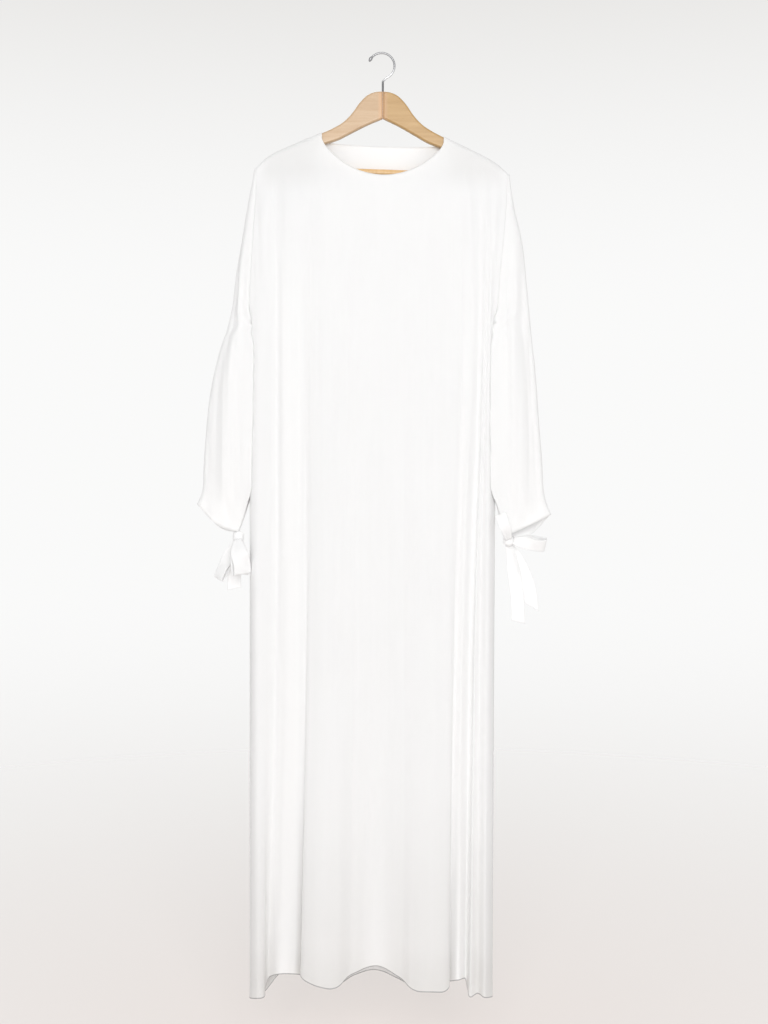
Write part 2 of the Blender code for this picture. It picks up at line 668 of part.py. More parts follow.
def add_knot(name, side, collection):
    """The tie's knot: a rounded lump of strap with a flattened wrap round it."""
    mesh = bpy.data.meshes.new(name)
    lump = bmesh.new()
    bmesh.ops.create_uvsphere(lump, u_segments=KNOT_SIDES, v_segments=KNOT_RINGS, radius=1.0)
    for vertex in lump.verts:
        turn = math.atan2(vertex.co.z, vertex.co.x)
        wrap = 1 - KNOT_GROOVE * math.cos(3 * turn) ** 2
        square_x = math.copysign(abs(vertex.co.x) ** KNOT_SQUARENESS, vertex.co.x)
        square_z = math.copysign(abs(vertex.co.z) ** KNOT_SQUARENESS, vertex.co.z)
        vertex.co.x = square_x * KNOT_HALF[0] * wrap * MM
        vertex.co.y = vertex.co.y * KNOT_HALF[1] * MM
        vertex.co.z = square_z * KNOT_HALF[2] * wrap * MM
    lump.to_mesh(mesh)
    lump.free()
    mesh.shade_smooth()
    new = add_object(name, mesh, "cloth", collection)
    new.location = Vector(KNOT[side]) * MM


def arm_outline(side):
    """Outline of one hanger arm, from the middle joint out along the top and back below."""
    outward = -1 if side == "left" else 1
    top = np.array(ARM_TOP_EDGE)
    lower = np.array(ARM_LOWER_EDGE)
    points = []
    for distance in NECK_STEPS:
        points.append((distance, smooth_through(distance, top[:, 0], top[:, 1])))
    for distance in SHOULDER_STEPS:
        seat = SEAT + ARM_END_DROP * max(distance / ARM_END - ARM_END_DROP_START, 0.0) ** 2
        points.append((distance, shoulder_height(distance) + TILT * distance - seat))
    for angle in NOSE_ANGLES:
        turn = math.radians(angle)
        points.append((ARM_END - NOSE_HALF_WIDTH + NOSE_HALF_WIDTH * math.cos(turn),
                       NOSE_BOTTOM + NOSE_HALF_HEIGHT + NOSE_HALF_HEIGHT * math.sin(turn)))
    points.append((NOSE_INNER, NOSE_BOTTOM + NOSE_FOOT))
    points.append((NOSE_INNER, NOSE_TOP))
    for distance in LOWER_STEPS:
        points.append((distance, smooth_through(distance, lower[:, 0], lower[:, 1])))
    placed = []
    for distance, height in points:
        x = outward * max(distance, SEAM_GAP / 2)
        placed.append((x, height - TILT * x))
    return placed


def add_arm(name, side, collection):
    """A hanger arm: its outline, filled, given its thickness and rounded."""
    curve = bpy.data.curves.new(name, "CURVE")
    curve.dimensions = "2D"
    curve.fill_mode = "BOTH"
    curve.extrude = (ARM_THICKNESS / 2 - ARM_ROUNDING) * MM
    curve.bevel_depth = ARM_ROUNDING * MM
    curve.bevel_resolution = 2
    curve.offset = -ARM_ROUNDING * MM
    outline = arm_outline(side)
    spline = curve.splines.new("POLY")
    spline.points.add(len(outline) - 1)
    for point, (x, z) in zip(spline.points, outline):
        point.co = (x * MM, z * MM, 0.0, 1.0)
    spline.use_cyclic_u = True
    new = add_object(name, curve, "wood", collection)
    new.rotation_euler = (math.pi / 2, 0.0, 0.0)


def add_bar(name, collection):
    """The trouser bar, a round rod between the arms' noses."""
    length = 2 * (NOSE_INNER - BAR_END_GAP)
    bpy.ops.mesh.primitive_cylinder_add(
        vertices=BAR_SIDES, radius=BAR_DIAMETER / 2 * MM, depth=length * MM)
    bar = bpy.context.active_object
    bar.name = name
    bar.data.name = name
    for owner in list(bar.users_collection):
        owner.objects.unlink(bar)
    collection.objects.link(bar)
    bar.location = (0.0, 0.0, BAR_HEIGHT * MM)
    bar.rotation_euler = (0.0, math.pi / 2 + math.atan(TILT), 0.0)
    material = material_named("wood").copy()
    material.name = name + "_wood"
    bar.data.materials.append(material)


def add_hook(name, collection):
    """The steel hook: a stem, a bend to the right and most of a circle, as one bent wire."""
    route = [(0.0, STEM_FOOT), (0.0, (STEM_FOOT + STEM_TOP) / 2), (0.0, STEM_TOP)]
    for number in range(HOOK_STEPS + 1):
        share = number / HOOK_STEPS
        angle = math.radians(HOOK_START_ANGLE + (HOOK_END_ANGLE - HOOK_START_ANGLE) * share)
        route.append((HOOK_CENTRE_X + HOOK_RADIUS * math.cos(angle),
                      HOOK_CENTRE_Z + HOOK_RADIUS * math.sin(angle)))
    curve = bpy.data.curves.new(name, "CURVE")
    curve.dimensions = "3D"
    curve.bevel_depth = HOOK_WIRE / 2 * MM
    curve.bevel_resolution = 2
    curve.use_fill_caps = True
    spline = curve.splines.new("POLY")
    spline.points.add(len(route) - 1)
    for point, (x, z) in zip(spline.points, route):
        point.co = (x * MM, 0.0, z * MM, 1.0)
    first = len(route) - len(HOOK_TIP_WIDTHS)
    for number, width in enumerate(HOOK_TIP_WIDTHS):
        spline.points[first + number].radius = width / HOOK_WIRE
    add_object(name, curve, "steel", collection)


def build():
    for item in list(bpy.data.objects):
        bpy.data.objects.remove(item)
    collection = collection_named("abaya_on_hanger")
    front_neck = (FRONT_NECK_DEPTH, FRONT_NECK_ROUNDNESS)
    back_neck = (BACK_NECK_DEPTH, BACK_NECK_ROUNDNESS)
    add_panel("front_panel", FRONT_FOLDS, -1, front_neck, FRONT_SPACING, collection)
    add_panel("back_panel", BACK_FOLDS, 1, back_neck, BACK_SPACING, collection)
    for side in ("left", "right"):
        add_sleeve("sleeve_" + side, side, collection)
        add_knot("tie_" + side + "_knot", side, collection)
        add_arm("hanger_arm_" + side, side, collection)
    for loop in LOOPS:
        add_loop(*loop, collection)
    for tail in TAILS:
        add_tail(*tail, collection)
    add_bar("hanger_bar", collection)
    add_hook("hanger_hook", collection)


build()
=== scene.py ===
"""Looks of the abaya and its hanger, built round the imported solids.

Shapes are in millimetres, in the row's frame: +X to the viewer's right, -Y toward the viewer, +Z up.
Materials, lights and the camera are in metres.
"""
import json
import math

import bmesh
import bpy
import numpy as np
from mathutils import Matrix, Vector

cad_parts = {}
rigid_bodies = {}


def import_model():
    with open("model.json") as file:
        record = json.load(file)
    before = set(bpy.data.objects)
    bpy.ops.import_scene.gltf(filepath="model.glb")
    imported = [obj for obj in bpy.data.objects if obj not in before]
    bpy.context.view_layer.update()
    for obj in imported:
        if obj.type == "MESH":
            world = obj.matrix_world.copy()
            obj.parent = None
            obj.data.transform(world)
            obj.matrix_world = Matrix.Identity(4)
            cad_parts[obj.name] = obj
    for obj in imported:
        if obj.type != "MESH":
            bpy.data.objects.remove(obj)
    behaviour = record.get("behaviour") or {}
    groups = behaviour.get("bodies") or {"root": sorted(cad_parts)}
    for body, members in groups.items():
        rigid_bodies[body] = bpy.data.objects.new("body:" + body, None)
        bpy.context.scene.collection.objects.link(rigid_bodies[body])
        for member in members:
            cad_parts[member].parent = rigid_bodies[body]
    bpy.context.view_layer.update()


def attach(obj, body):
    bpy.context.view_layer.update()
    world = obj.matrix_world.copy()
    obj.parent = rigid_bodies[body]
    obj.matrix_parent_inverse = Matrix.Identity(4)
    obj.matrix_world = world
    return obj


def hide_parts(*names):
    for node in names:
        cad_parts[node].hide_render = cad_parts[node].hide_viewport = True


MM = 0.001
OUTWARD = {"left": -1, "right": 1}

# Cloth shells
SHELL = 0.9
EDGE_INSET = 0.24
SLEEVE_INSET = 0.1
SEAM_DIP = 0.3
SEAM_HALF_WIDTH = 1.6
SEAM_TOP = (10.0, 20.0)
HEM_TURN = (19.0, 2.0)
HEM_TURN_HEIGHT = 0.35

# Hanger
TILT = 0.034
ARM_THICKNESS = 12.0
ARM_ROUNDING = 3.6
ARM_END = 214.0
ARM_END_DROP = 30.0
ARM_END_DROP_START = 0.75
ARM_UNDER_CLOTH = (114.0, 206.0)
JOINT_GAP = 0.3
ARM_TOP_EDGE = (
    # distance from the middle, height
    (0.0, -67.6), (14.0, -69.0), (28.0, -75.5), (41.0, -88.6),
    (55.0, -108.5), (70.0, -124.0), (88.0, -135.5), (108.3, -145.4),
)
ARM_LOWER_EDGE = (
    # distance from the middle, height
    (0.0, -115.3), (27.0, -127.5), (56.0, -143.0), (79.0, -155.5),
    (100.0, -163.5), (150.0, -185.5), (190.0, -203.0),
)
NOSE_INNER = 200.2
NOSE_TOP = -205.5
NOSE_BOTTOM = -221.0
NOSE_HALF_WIDTH = 8.0
NOSE_HALF_HEIGHT = 12.0
NOSE_ANGLES = (40, 27, 15, 0, -15, -30, -45, -60, -75)
BAR_DIAMETER = 12.0
BAR_HEIGHT = -211.5
BAR_CLEARANCE = 0.6
BAR_RIM = 0.8
MIDDLE_STRIP = 7.2
MIDDLE_STRIP_BLUR = 2.5
HOOK_WIRE = 3.8
HOOK_RADIUS = 23.0
HOOK_CENTRE = (-2.3, -21.0)
HOOK_ANGLES = (-68.0, 160.0)
HOOK_STEPS = 240
TIP_STEPS = 4
TIP_WIDTHS = (2.6, 4.6, 5.8, 6.3, 6.2, 5.4, 4.4, HOOK_WIRE)
STEM_FOOT = -67.3
STEM_TOP = -48.5

# Shoulder line
SEAT = 1.7
NECK_HALF = 108.3
NECK_POINT_HEIGHT = -143.7
SHOULDER_SLOPE = 0.455
TIP_DROP = 15.5
TIP_REACH = 116.0
TIP_ROUNDNESS = 8
TIP_X = {"left": -224.0, "right": 221.0}

# Neck, armholes and seams
FRONT_NECK = (64.0, 2 / 3)
BACK_NECK = (6.0, 1 / 2)
NECK_DROP = 0.036
FOLD_OVER_RADIUS = 10.0
YOKE_DROP = 120.0
UNDERARM_HEIGHT = -480.0
UNDERARM_X = {"left": -236.1, "right": 202.2}
ARMHOLE_BEND = 0.8
SIDE_SEAM_Y = 5.0
CHEST_HEIGHT = -442.0
KNEE_HEIGHT = -970.0
MEAN_HEM = -1660.0

# Rows of the panels from the shoulder to the underarm, and columns beside the neck point, as shares
UPPER_ROWS = (0, .0005, .004, .015, .036, .09, .19, .35, .55, .74, .86, .94, .98, 1)
NECK_SHARES = (0.0, .05, .12, .2, .3, .41, .53, .66, .8)
LOWER_ROW_STRETCH = 1.6
SMALLEST_FOLD = 10.0

FOLD_COLUMNS = ("top_x", "chest_x", "chest_y", "knee_x", "knee_y", "hem_x", "hem_y", "hem_z")
FRONT_FOLDS = (
    # top x, chest x, chest y, knee x, knee y, hem x, hem y, hem z
    (-224, -236, -22, -237, 5, -237, 5, -1680), (-219, -228, -24, -233, -16, -233, -20, -1673),
    (-214, -219, -27, -222, -28, -220, -34, -1668), (-206, -208, -28, -209, -25, -209, -28, -1667),
    (-198, -198, -25, -198, -20, -209, -9, -1659), (-188, -188, -20, -187, -14, -202, -2, -1643),
    (-170, -172, -27, -171, -25, -181, -18, -1631), (-149, -152, -28, -150, -25, -160, -15, -1632),
    (-136, -139, -27, -138, -21, -139, -4, -1639), (-127, -131, -27, -133, -22, -134, -15, -1640),
    (-120, -124, -27.5, -130, -27, -144, -31, -1628), (-114, -116, -28, -123, -31, -136, -43, -1633),
    (-108.3, -100, -29, -105, -35, -111, -52, -1641), (-93.8, -73, -29, -76, -33, -83, -46, -1645),
    (-54.2, -45, -28, -45, -28, -56, -28, -1629), (0, -7, -27, -8, -24, -12, -14, -1618),
    (54.2, 32, -28, 27, -27, 28, -26, -1633), (93.8, 65, -29, 55, -31, 54, -42, -1650),
    (108.3, 97, -29, 86, -34, 84, -48, -1651), (116, 122, -28, 116, -31, 107, -42, -1653),
    (123, 133, -27, 123, -28, 117, -30, -1647), (131, 140, -26.5, 127, -23, 111, -17, -1645),
    (139, 148, -27, 133, -22, 118, -13, -1646), (149, 158, -27.5, 141, -26, 132, -25, -1639),
    (162, 168, -23, 154, -15, 146, -8, -1643), (172, 175, -22, 161, -17, 150, -14, -1657),
    (183, 180, -26, 164, -26, 153, -30, -1667), (194, 185, -24.5, 173, -20, 167, -21, -1664),
    (204, 190, -26.5, 183, -27, 178, -32, -1667), (214, 196, -23, 195, -14, 192, -14, -1673),
    (221, 202, -22, 199, 5, 195, 5, -1678),
)
BACK_FOLDS = (
    # top x, chest x, chest y, knee x, knee y, hem x, hem y, hem z
    (-224, -236, 15, -237, 5, -237, 5, -1680), (-219, -233, 15, -235, 13, -235, 15, -1684),
    (-205, -217, 17, -217, 21, -214, 26, -1680), (-184, -190, 16, -186, 16, -182, 14, -1640),
    (-150, -159, 18, -156, 23, -155, 27, -1646), (-108.3, -123, 16, -122, 16, -122, 14, -1664),
    (-93.8, -89, 18, -88, 23, -88, 27, -1672), (-54.2, -52, 16, -52, 17, -53, 14, -1646),
    (0, -12, 18, -12, 23, -14, 27, -1640), (54.2, 25, 16, 24, 17, 25, 14, -1650),
    (93.8, 63, 18, 60, 23, 60, 27, -1673), (108.3, 103, 16, 97, 17, 95, 14, -1671),
    (147, 140, 18, 133, 23, 130, 27, -1650), (180, 171, 16, 164, 17, 158, 15, -1655),
    (203, 190, 17, 184, 21, 180, 24, -1681), (214, 200, 15, 198, 13, 194, 15, -1684),
    (221, 202, 15, 199, 5, 195, 5, -1678),
)

SLEEVE_OUTLINE = {
    # height, outer x
    "left": ((-200, -227.6), (-212, -229), (-224, -231), (-245, -235), (-270, -239.5), (-297, -244),
             (-323, -248), (-348, -252), (-386, -258), (-453, -265), (-480, -270)),
    "right": ((-210, 225), (-224, 226), (-241, 228), (-264, 231.5), (-284, 235), (-302, 239.5),
              (-321, 244), (-345, 248), (-402, 253), (-455, 257), (-480, 259)),
}
RING_COLUMNS = ("outer_x", "outer_z", "inner_x", "inner_z", "front_in", "front_out",
                "back_in", "back_out", "sag_front", "sag_back", "front_seam", "back_seam")
SLEEVE_RINGS = {
    # outer x, outer z, inner x, inner z, how far the front and back sag below a straight line
    "left": (
        (-281, -512, -239.5, -512, 0, 0), (-292, -548, -239.8, -548, 0, 0),
        (-302, -595, -240.0, -595, 0, 0), (-309, -650, -240.0, -650, 0, 0),
        (-314, -705, -240.0, -708, 0, 0), (-316, -745, -240.0, -755, 0, 0),
        (-317, -770, -241.0, -792, 1, 1), (-320, -784, -245.0, -817, 4, 4),
        (-325, -794, -251.0, -835, 8, 9), (-329, -801, -257.0, -850, 12, 16),
    ),
    "right": (
        (262, -512, 204.5, -512, 0, 0), (266, -548, 204.4, -548, 0, 0),
        (270, -595, 204.3, -595, 0, 0), (274, -650, 204.2, -650, 0, 0),
        (278.5, -705, 204.0, -708, 0, 0), (281, -745, 204.0, -755, 0, 0),
        (283, -772, 204.5, -796, 0, 2), (287, -792, 208.0, -822, 0, 7),
        (292, -806, 214.0, -842, 0, 13), (298, -820, 220.0, -857.6, 0, 20),
    ),
}
RING_DEPTHS = (
    # front y at the inner and outer side, back y likewise, for both sleeves
    (-25, -23, 18, 18), (-26, -24, 19, 19), (-26, -24, 20, 20), (-26, -24, 21, 20), (-25, -23, 21, 20),
    (-22, -22, 19, 20), (-17, -21, 15, 20), (-12, -20, 11, 20), (-8, -20, 8, 20), (-6, -20, 7, 20),
)
SLEEVE_COLUMNS = 104
SLEEVE_STEP = 5.0
SLEEVE_CORNER = 2.4
SIDE_COLUMNS = 12
BODY_CLEARANCE = 1.25
RING_SAMPLES = 48
WALL_SAMPLES = 16

# How a sleeve's inner wall follows the side of the body: how far it reaches round it high up and low
# down. A pair such as LOWERING is, here and below, where a change starts and the length that it takes.
WALL_REACH = 0.985
MEETING_SHARE = 0.93
LOWERING = (-640.0, 100.0)
COMING_FORWARD = (UNDERARM_HEIGHT, 140.0)
LEAVING_BODY = (-770.0, 50.0)
FULL_WALL_DEPTH = 12.0

# Soft pleats that run down a sleeve
SLEEVE_WAVES = 4
SLEEVE_WAVE_HEIGHT = 3.0
WAVE_GROWTH = (-300.0, 220.0)
WAVE_CUFF = (-740.0, 90.0)
WAVE_END_SHARE = 0.2

# Listed creases: x and z of the top, x and z of the low end, how far it bows sideways, its half
# width and its height out of the cloth. Those that reach HEM_REACH run on through the hem.
HEM_REACH = -1690
FRONT_CREASES = (
    (-220, -250, -218, -460, 1, 3.5, -1.3), (-186, -300, -186, -1000, 1, 6.0, -1.7),
    (-178, -300, -180, -1050, 2, 5.0, 0.9), (-162, -240, -160, -980, -2, 4.0, -0.7),
    (-149, -290, -150, -1240, 1, 6.0, 0.8), (-138, -420, -137, -900, 1, 2.4, -0.9),
    (-128, -270, -126, -820, 0, 3.0, 0.7), (-116, -330, -112, -1120, 3, 4.5, -0.8),
    (-99, -260, -96, -760, -2, 7.0, 0.6), (-86, -380, -89, -1300, 2, 5.5, -0.7),
    (-71, -520, -74, -1690, -3, 6.5, 0.9), (-62, -300, -64, -980, 2, 5.0, -0.7),
    (-49, -620, -57, -1690, 2, 5.0, -1.0), (-36, -360, -38, -1240, -3, 9.0, 0.7),
    (-21, -800, -26, -1600, 2, 6.0, -0.6), (-6, -420, -8, -1180, 3, 8.0, 0.5),
    (12, -700, 10, -1560, -2, 6.5, -0.6), (24, -330, 22, -1060, 2, 7.0, 0.6),
    (38, -560, 36, -1690, 1, 5.0, -1.0), (49, -300, 46, -900, -2, 6.0, -0.6),
    (63, -640, 60, -1690, 2, 6.0, 0.9), (77, -280, 73, -1200, 2, 5.5, -0.7),
    (92, -420, 90, -1420, -2, 6.5, 0.7), (107, -330, 103, -1240, 1, 4.0, -0.8),
    (121, -250, 118, -900, 0, 3.5, 0.6), (140, -260, 136, -1000, 1, 3.0, -0.9),
    (150, -420, 141, -1300, 0, 4.0, 0.7), (169, -280, 167, -860, 1, 4.0, -1.1),
    (189, -360, 184, -1420, 1, 3.6, 0.7), (196, -250, 190, -700, 0, 3.2, -0.7),
)
BACK_CREASES = (
    (-196, -260, -198, -1080, 2, 4.5, -1.0), (-172, -300, -170, -1690, -2, 6.0, 0.9),
    (-141, -250, -139, -900, 2, 4.0, -0.9), (-121, -420, -124, -1500, 3, 6.5, 0.8),
    (-101, -280, -104, -1060, -2, 4.5, -0.9), (-72, -360, -70, -1690, 3, 7.0, 0.9),
    (-44, -240, -47, -980, -2, 5.5, -0.8), (-21, -520, -25, -1560, 2, 6.0, 0.8),
    (6, -260, 4, -1200, 3, 5.0, -0.8), (41, -330, 38, -1690, -3, 7.0, 0.9),
    (79, -250, 75, -940, 2, 4.5, -0.9), (92, -600, 89, -1600, 2, 5.5, 0.8),
    (121, -280, 116, -1300, -2, 5.0, -0.9), (150, -300, 143, -1690, 2, 5.5, 0.9),
    (171, -250, 165, -1150, 1, 4.0, -1.0), (186, -420, 181, -1500, 1, 4.0, 0.8),
)
SLEEVE_CREASES = {
    ("left", "front"): (
        (-256, -370, -266, -610, 2, 2.6, -1.9), (-247, -440, -251, -700, -1, 3.4, 1.0),
        (-276, -470, -290, -700, 2, 4.5, 0.8), (-300, -560, -309, -690, 1, 2.8, -0.9),
        (-308, -640, -311, -778, 0, 2.4, -1.6), (-256, -640, -257, -800, 0, 3.6, 1.3),
        (-268, -620, -270, -800, 0, 3.0, -0.8), (-284, -600, -288, -790, -1, 4.0, -0.7),
    ),
    ("left", "back"): (
        (-240, -300, -262, -590, 3, 3.4, -1.2), (-250, -430, -272, -740, 3, 4.0, 1.1),
        (-262, -520, -294, -770, 4, 4.2, -1.2), (-252, -600, -262, -815, 2, 3.2, -1.1),
        (-284, -610, -286, -800, -2, 4.2, 1.2), (-302, -620, -309, -785, 1, 3.2, -1.0),
    ),
    ("right", "front"): (
        (219, -380, 220, -700, 1, 2.6, -1.6), (228, -440, 231, -760, 0, 4.0, 1.5),
        (257, -480, 266, -660, 1, 2.4, -1.4), (267, -640, 273, -800, 1, 3.0, -1.7),
        (243, -470, 247, -700, 2, 5.0, 0.8), (238, -620, 240, -810, -1, 3.0, -0.8),
        (250, -560, 254, -790, 1, 4.0, 0.7),
    ),
    ("right", "back"): (
        (212, -300, 222, -620, -2, 3.4, -1.2), (224, -430, 236, -740, -3, 4.0, 1.1),
        (240, -500, 252, -790, 2, 4.2, -1.2), (222, -600, 226, -820, 1, 3.2, -1.1),
        (258, -560, 268, -800, 1, 3.6, 1.1),
    ),
}
CREASE_FADE_IN = 0.22
CREASE_FADE_OUT = 0.3
CREASE_TOP_WIDTH = 0.75
CREASE_WIDENING = 0.5
CREASE_TOP = (45.0, 90.0)
CREASE_SIDE_COLUMNS = 6

# Fine uneven streaks: their widths, and their height in all
PANEL_STREAKS = ((17, 23, 31, 41, 57), 1.3)
SLEEVE_STREAKS = ((9, 13, 19), 0.9)
SLEEVE_STREAK_TOP = (-330.0, 150.0)
STREAK_SLOWNESS = (180, 420)
STREAK_DRIFT = 0.35
STREAK_SWELL = 0.45
STREAK_SKEW = 90.0

# Fine gathers that fan out from a cuff's knot
GATHER_REACH = (120.0, 80.0)
GATHER_HEIGHT = 0.9
GATHERS_AROUND = 17
GATHER_UNEVENNESS = (5, 2)
GATHER_BACK_SHIFT = 1.7

# Tones of the cloth: -1 is painted light where the cloth lies double, 1 is painted shade and 2 is a painted
# shadow line along the hem
# painted light: the sleeves are given most of the whiter colour of doubled cloth
SLEEVE_PAINTED_LIGHT = -0.7
HEM_SHADOW_TONE = 2.0
# Distances from the hem of the rows between which the painted shadow line along the hem darkens
HEM_SHADOW_ROWS = (2.4, 1.2)
DOUBLED_PAINTED_LIGHT_BANDS = (
    # bands of the front that lie double, painted lighter: height, left x, right x, how much
    ((-330, -178, -148, 0), (-440, -177, -145, 0.8), (-700, -176, -145, 1), (-1130, -183, -147, 0.9),
     (-1400, -190, -152, 0.9), (-1680, -186, -155, 0.9)),
    ((-330, 146, 164, 0), (-440, 146, 164, 0.4), (-700, 133, 148, 0.7), (-1130, 128, 144, 0.8),
     (-1400, 122, 140, 0.9), (-1680, 122, 139, 0.9)),
)
DOUBLED_PAINTED_LIGHT_BLUR = 8.0

# The hanger's shade under the cloth, and where it starts and deepens outward, ends, and fades downward
HANGER_SHADE = 0.46
SHADE_START = (50.0, 40.0)
SHADE_FIRST_SHARE = 0.35
SHADE_DEEPENS = (90.0, 55.0)
SHADE_END = (224.0, 26.0)
SHADE_FADE = (-203.0, 56.0)
# The shade of the lower cloth: start, length and share of its two steps, and the raised folds that
# stay lighter: x, width and share
LOWER_SHADE = ((-1250.0, 390.0, 0.6), (-1560.0, 90.0, 0.4))
LIGHTER_FOLDS = ((-187.0, 11.0, 0.8), (-12.0, 26.0, 0.65), (144.0, 9.0, 0.8))

# Tie straps
STRAP_SHELL = 1.2
STRAP_COLUMNS = 17
KNOT_HALF = (11.5, 8.6, 11.0)
KNOT_SQUARENESS = 0.85
# The knot's bulges and the lines of its wrap, each as count and depth, and the wrap: its two slopes,
# half its width and how far it stands out
KNOT_BULGES = (3, 0.07)
KNOT_LINES = (26, 0.018)
KNOT_WRAP = (0.8, 0.35, 0.42, 0.085)
KNOT = {"left": (-257.0, 0.0, -858.6), "right": (223.7, 0.0, -865.2)}
LOOPS = (
    # piece, side, direction x and z, y of its foot and of its middle, start, length, width, half opening,
    # and how far it turns about its length in degrees
    ("tie_left_loop_inner", "left", 0.14, -1.0, -9.8, -28.0, 5.0, 66.0, 34.0, 4.6, 38.0),
    ("tie_left_loop_outer", "left", -0.42, -0.9, 3.0, 4.5, 8.5, 84.0, 24.0, 3.4, -44.0),
    ("tie_right_loop_inner", "right", -0.36, 1.0, -10.6, -27.0, 2.0, 49.0, 20.0, 3.4, 10.0),
    ("tie_right_loop_outer", "right", 1.0, -0.12, -2.0, -2.0, 9.0, 66.0, 25.0, 5.0, -38.0),
)
TAILS = (
    # piece, side, end x and z from the knot, depth y at the start and end, start z, width, slant of the end
    ("tie_left_tail_front", "left", -9.0, -96.0, 9.0, 13.0, -3.0, 24.0, -5.0),
    ("tie_left_tail_back", "left", 3.0, -70.0, 11.1, 18.0, -3.0, 26.0, 4.0),
    ("tie_right_tail_front", "right", 18.0, -149.0, 9.0, 6.0, -3.0, 24.0, 6.0),
    ("tie_right_tail_back", "right", 43.0, -127.0, 11.1, 14.0, -3.0, 25.0, 15.0),
)
GATHERED_WIDTH = 11.0
STRAP_GATHERS = 2.5
STRAP_GATHER_SHIFT = 0.6
STRAP_EDGES = (0.5, 0.1)
# How much wider than the gathers a strap is where its small folds are nearly gone, and what is left
STRAP_FLATTENS_OVER = 9
STRAP_FLATTEST = 0.12
ROUTE_STEP = 0.05
LOOP_STEPS = 9
LOOP_GATHERING = 0.45
LOOP_TURNS = (0.2, 0.6)
TAIL_STEPS = 12
TAIL_GATHERING = 0.3
TAIL_SLANTS = (0.4, 0.6)
TAIL_CURLS = (0.15, 0.35)
# A tail's curl and twist: how far, and how fast along it
TAIL_CURL = (1.1, 5.2)
TAIL_TWIST = (3.2, 3.6)
LOOP_OPENS_BY = 0.6
TAIL_OPENS_BY = 0.35
LOOP_PROFILE = ((0.45, -1.0), (0.9, -1.0), (1.0, 0.0), (0.9, 1.0), (0.45, 1.0))
LOOP_FOOT_OPENING = 0.45
LOOP_BELLY = 3.0
TAIL_PROFILE = ((0.0, 0.0), (0.15, 0.3), (0.4, 0.62), (0.7, 0.9), (1.0, 1.0))

# Cloth colours: the painted light of doubled cloth, and what the painted shade and the painted shadow line
# along the hem keep of the plain one
CLOTH = (0.945, 0.945, 0.944)
DOUBLED_PAINTED_LIGHT_COLOUR = (0.985, 0.984, 0.981)
SHADED_SHARE = (0.81, 0.803, 0.79)
HEM_SHADOW_SHARE = 0.42

# Stage
FLOOR_Z = -1.80
FLOOR_FADE = 0.647
WORLD_LIGHT = 0.62
BACKDROP_MIDDLE = (0.956, 0.956, 0.952, 1.0)
BACKDROP_EDGE = (0.80, 0.79, 0.775, 1.0)
BACKDROP_GLOW = (0.14, 0.40)
CAMERA_FOCAL = 1236.0
PHOTO_HEIGHT = 1024.0
CAMERA_PLACE = (0.0021, -2.2, -0.815)


def smoothstep(value):
    value = np.clip(value, 0.0, 1.0)
    return value * value * (3 - 2 * value)


def over(value, start, length):
    """0 up to a start, 1 from a length over it, and smooth between."""
    return smoothstep((value - start) / length)


def under(value, start, length):
    """0 down to a start, 1 from a length under it, and smooth between."""
    return smoothstep((start - value) / length)


def unit(vectors):
    return vectors / np.maximum(np.linalg.norm(vectors, axis=-1, keepdims=True), 1e-9)


def hermite(start, leaving, end, arriving, share):
    """A cubic from start to end, with the slopes it leaves and arrives with."""
    return (
        start * (2 * share ** 3 - 3 * share ** 2 + 1) + leaving * (share ** 3 - 2 * share ** 2 + share)
        + end * (3 * share ** 2 - 2 * share ** 3) + arriving * (share ** 3 - share ** 2)
    )


def across(values, place):
    """A Catmull-Rom curve through a table's rows, read at a fractional row number."""
    last = len(values) - 1
    first = min(int(math.floor(place)), last - 1)
    before, start, end, after = (values[min(max(first + step, 0), last)] for step in (-1, 0, 1, 2))
    return hermite(start, (end - before) / 2, end, (after - start) / 2, place - first)


def smooth_through(position, stations, values):
    """A smooth curve through values at uneven stations, read at one or more positions."""
    stations = np.asarray(stations, float)
    values = np.asarray(values, float)
    position = np.clip(position, stations[0], stations[-1])
    slopes = np.gradient(values, stations, axis=0)
    index = np.minimum(np.searchsorted(stations, position, side="right") - 1, len(stations) - 2)
    span = stations[index + 1] - stations[index]
    return hermite(values[index], slopes[index] * span, values[index + 1], slopes[index + 1] * span,
                   (position - stations[index]) / span)


def shoulder_height(x):
    distance = np.maximum(np.abs(x) - NECK_HALF, 0.0)
    drop = SHOULDER_SLOPE * distance + TIP_DROP * (distance / TIP_REACH) ** TIP_ROUNDNESS
    return NECK_POINT_HEIGHT - drop - TILT * x


def in_neck(x):
    return abs(x) < NECK_HALF - 0.01


def scoop_height(x, neck):
    depth, roundness = neck
    corner = NECK_DROP * (NECK_POINT_HEIGHT - UNDERARM_HEIGHT)
    return shoulder_height(x) - corner - depth * (1 - (x / NECK_HALF) ** 2) ** roundness


def depth_from_hanger(below, resting_depth):
    """Depth of the cloth below the shoulder line: round over the arm, then out to its resting depth."""
    below = np.asarray(below, float)
    inside = np.clip(FOLD_OVER_RADIUS - below, 0.0, FOLD_OVER_RADIUS)
    rounded = np.sqrt(FOLD_OVER_RADIUS ** 2 - inside ** 2)
    return rounded + (resting_depth - FOLD_OVER_RADIUS) * over(below, FOLD_OVER_RADIUS, YOKE_DROP)


def armhole_x(side, share):
    return TIP_X[side] + (UNDERARM_X[side] - TIP_X[side]) * smoothstep(share)


def armhole_y(side, share, resting_y):
    below = share * (shoulder_height(TIP_X[side]) - UNDERARM_HEIGHT)
    y = math.copysign(1.0, resting_y) * depth_from_hanger(below, abs(resting_y))
    bend = np.clip((share - ARMHOLE_BEND) / (1 - ARMHOLE_BEND), 0.0, 1.0)
    return y + (SIDE_SEAM_Y - y) * (1 - np.sqrt(1 - bend * bend))


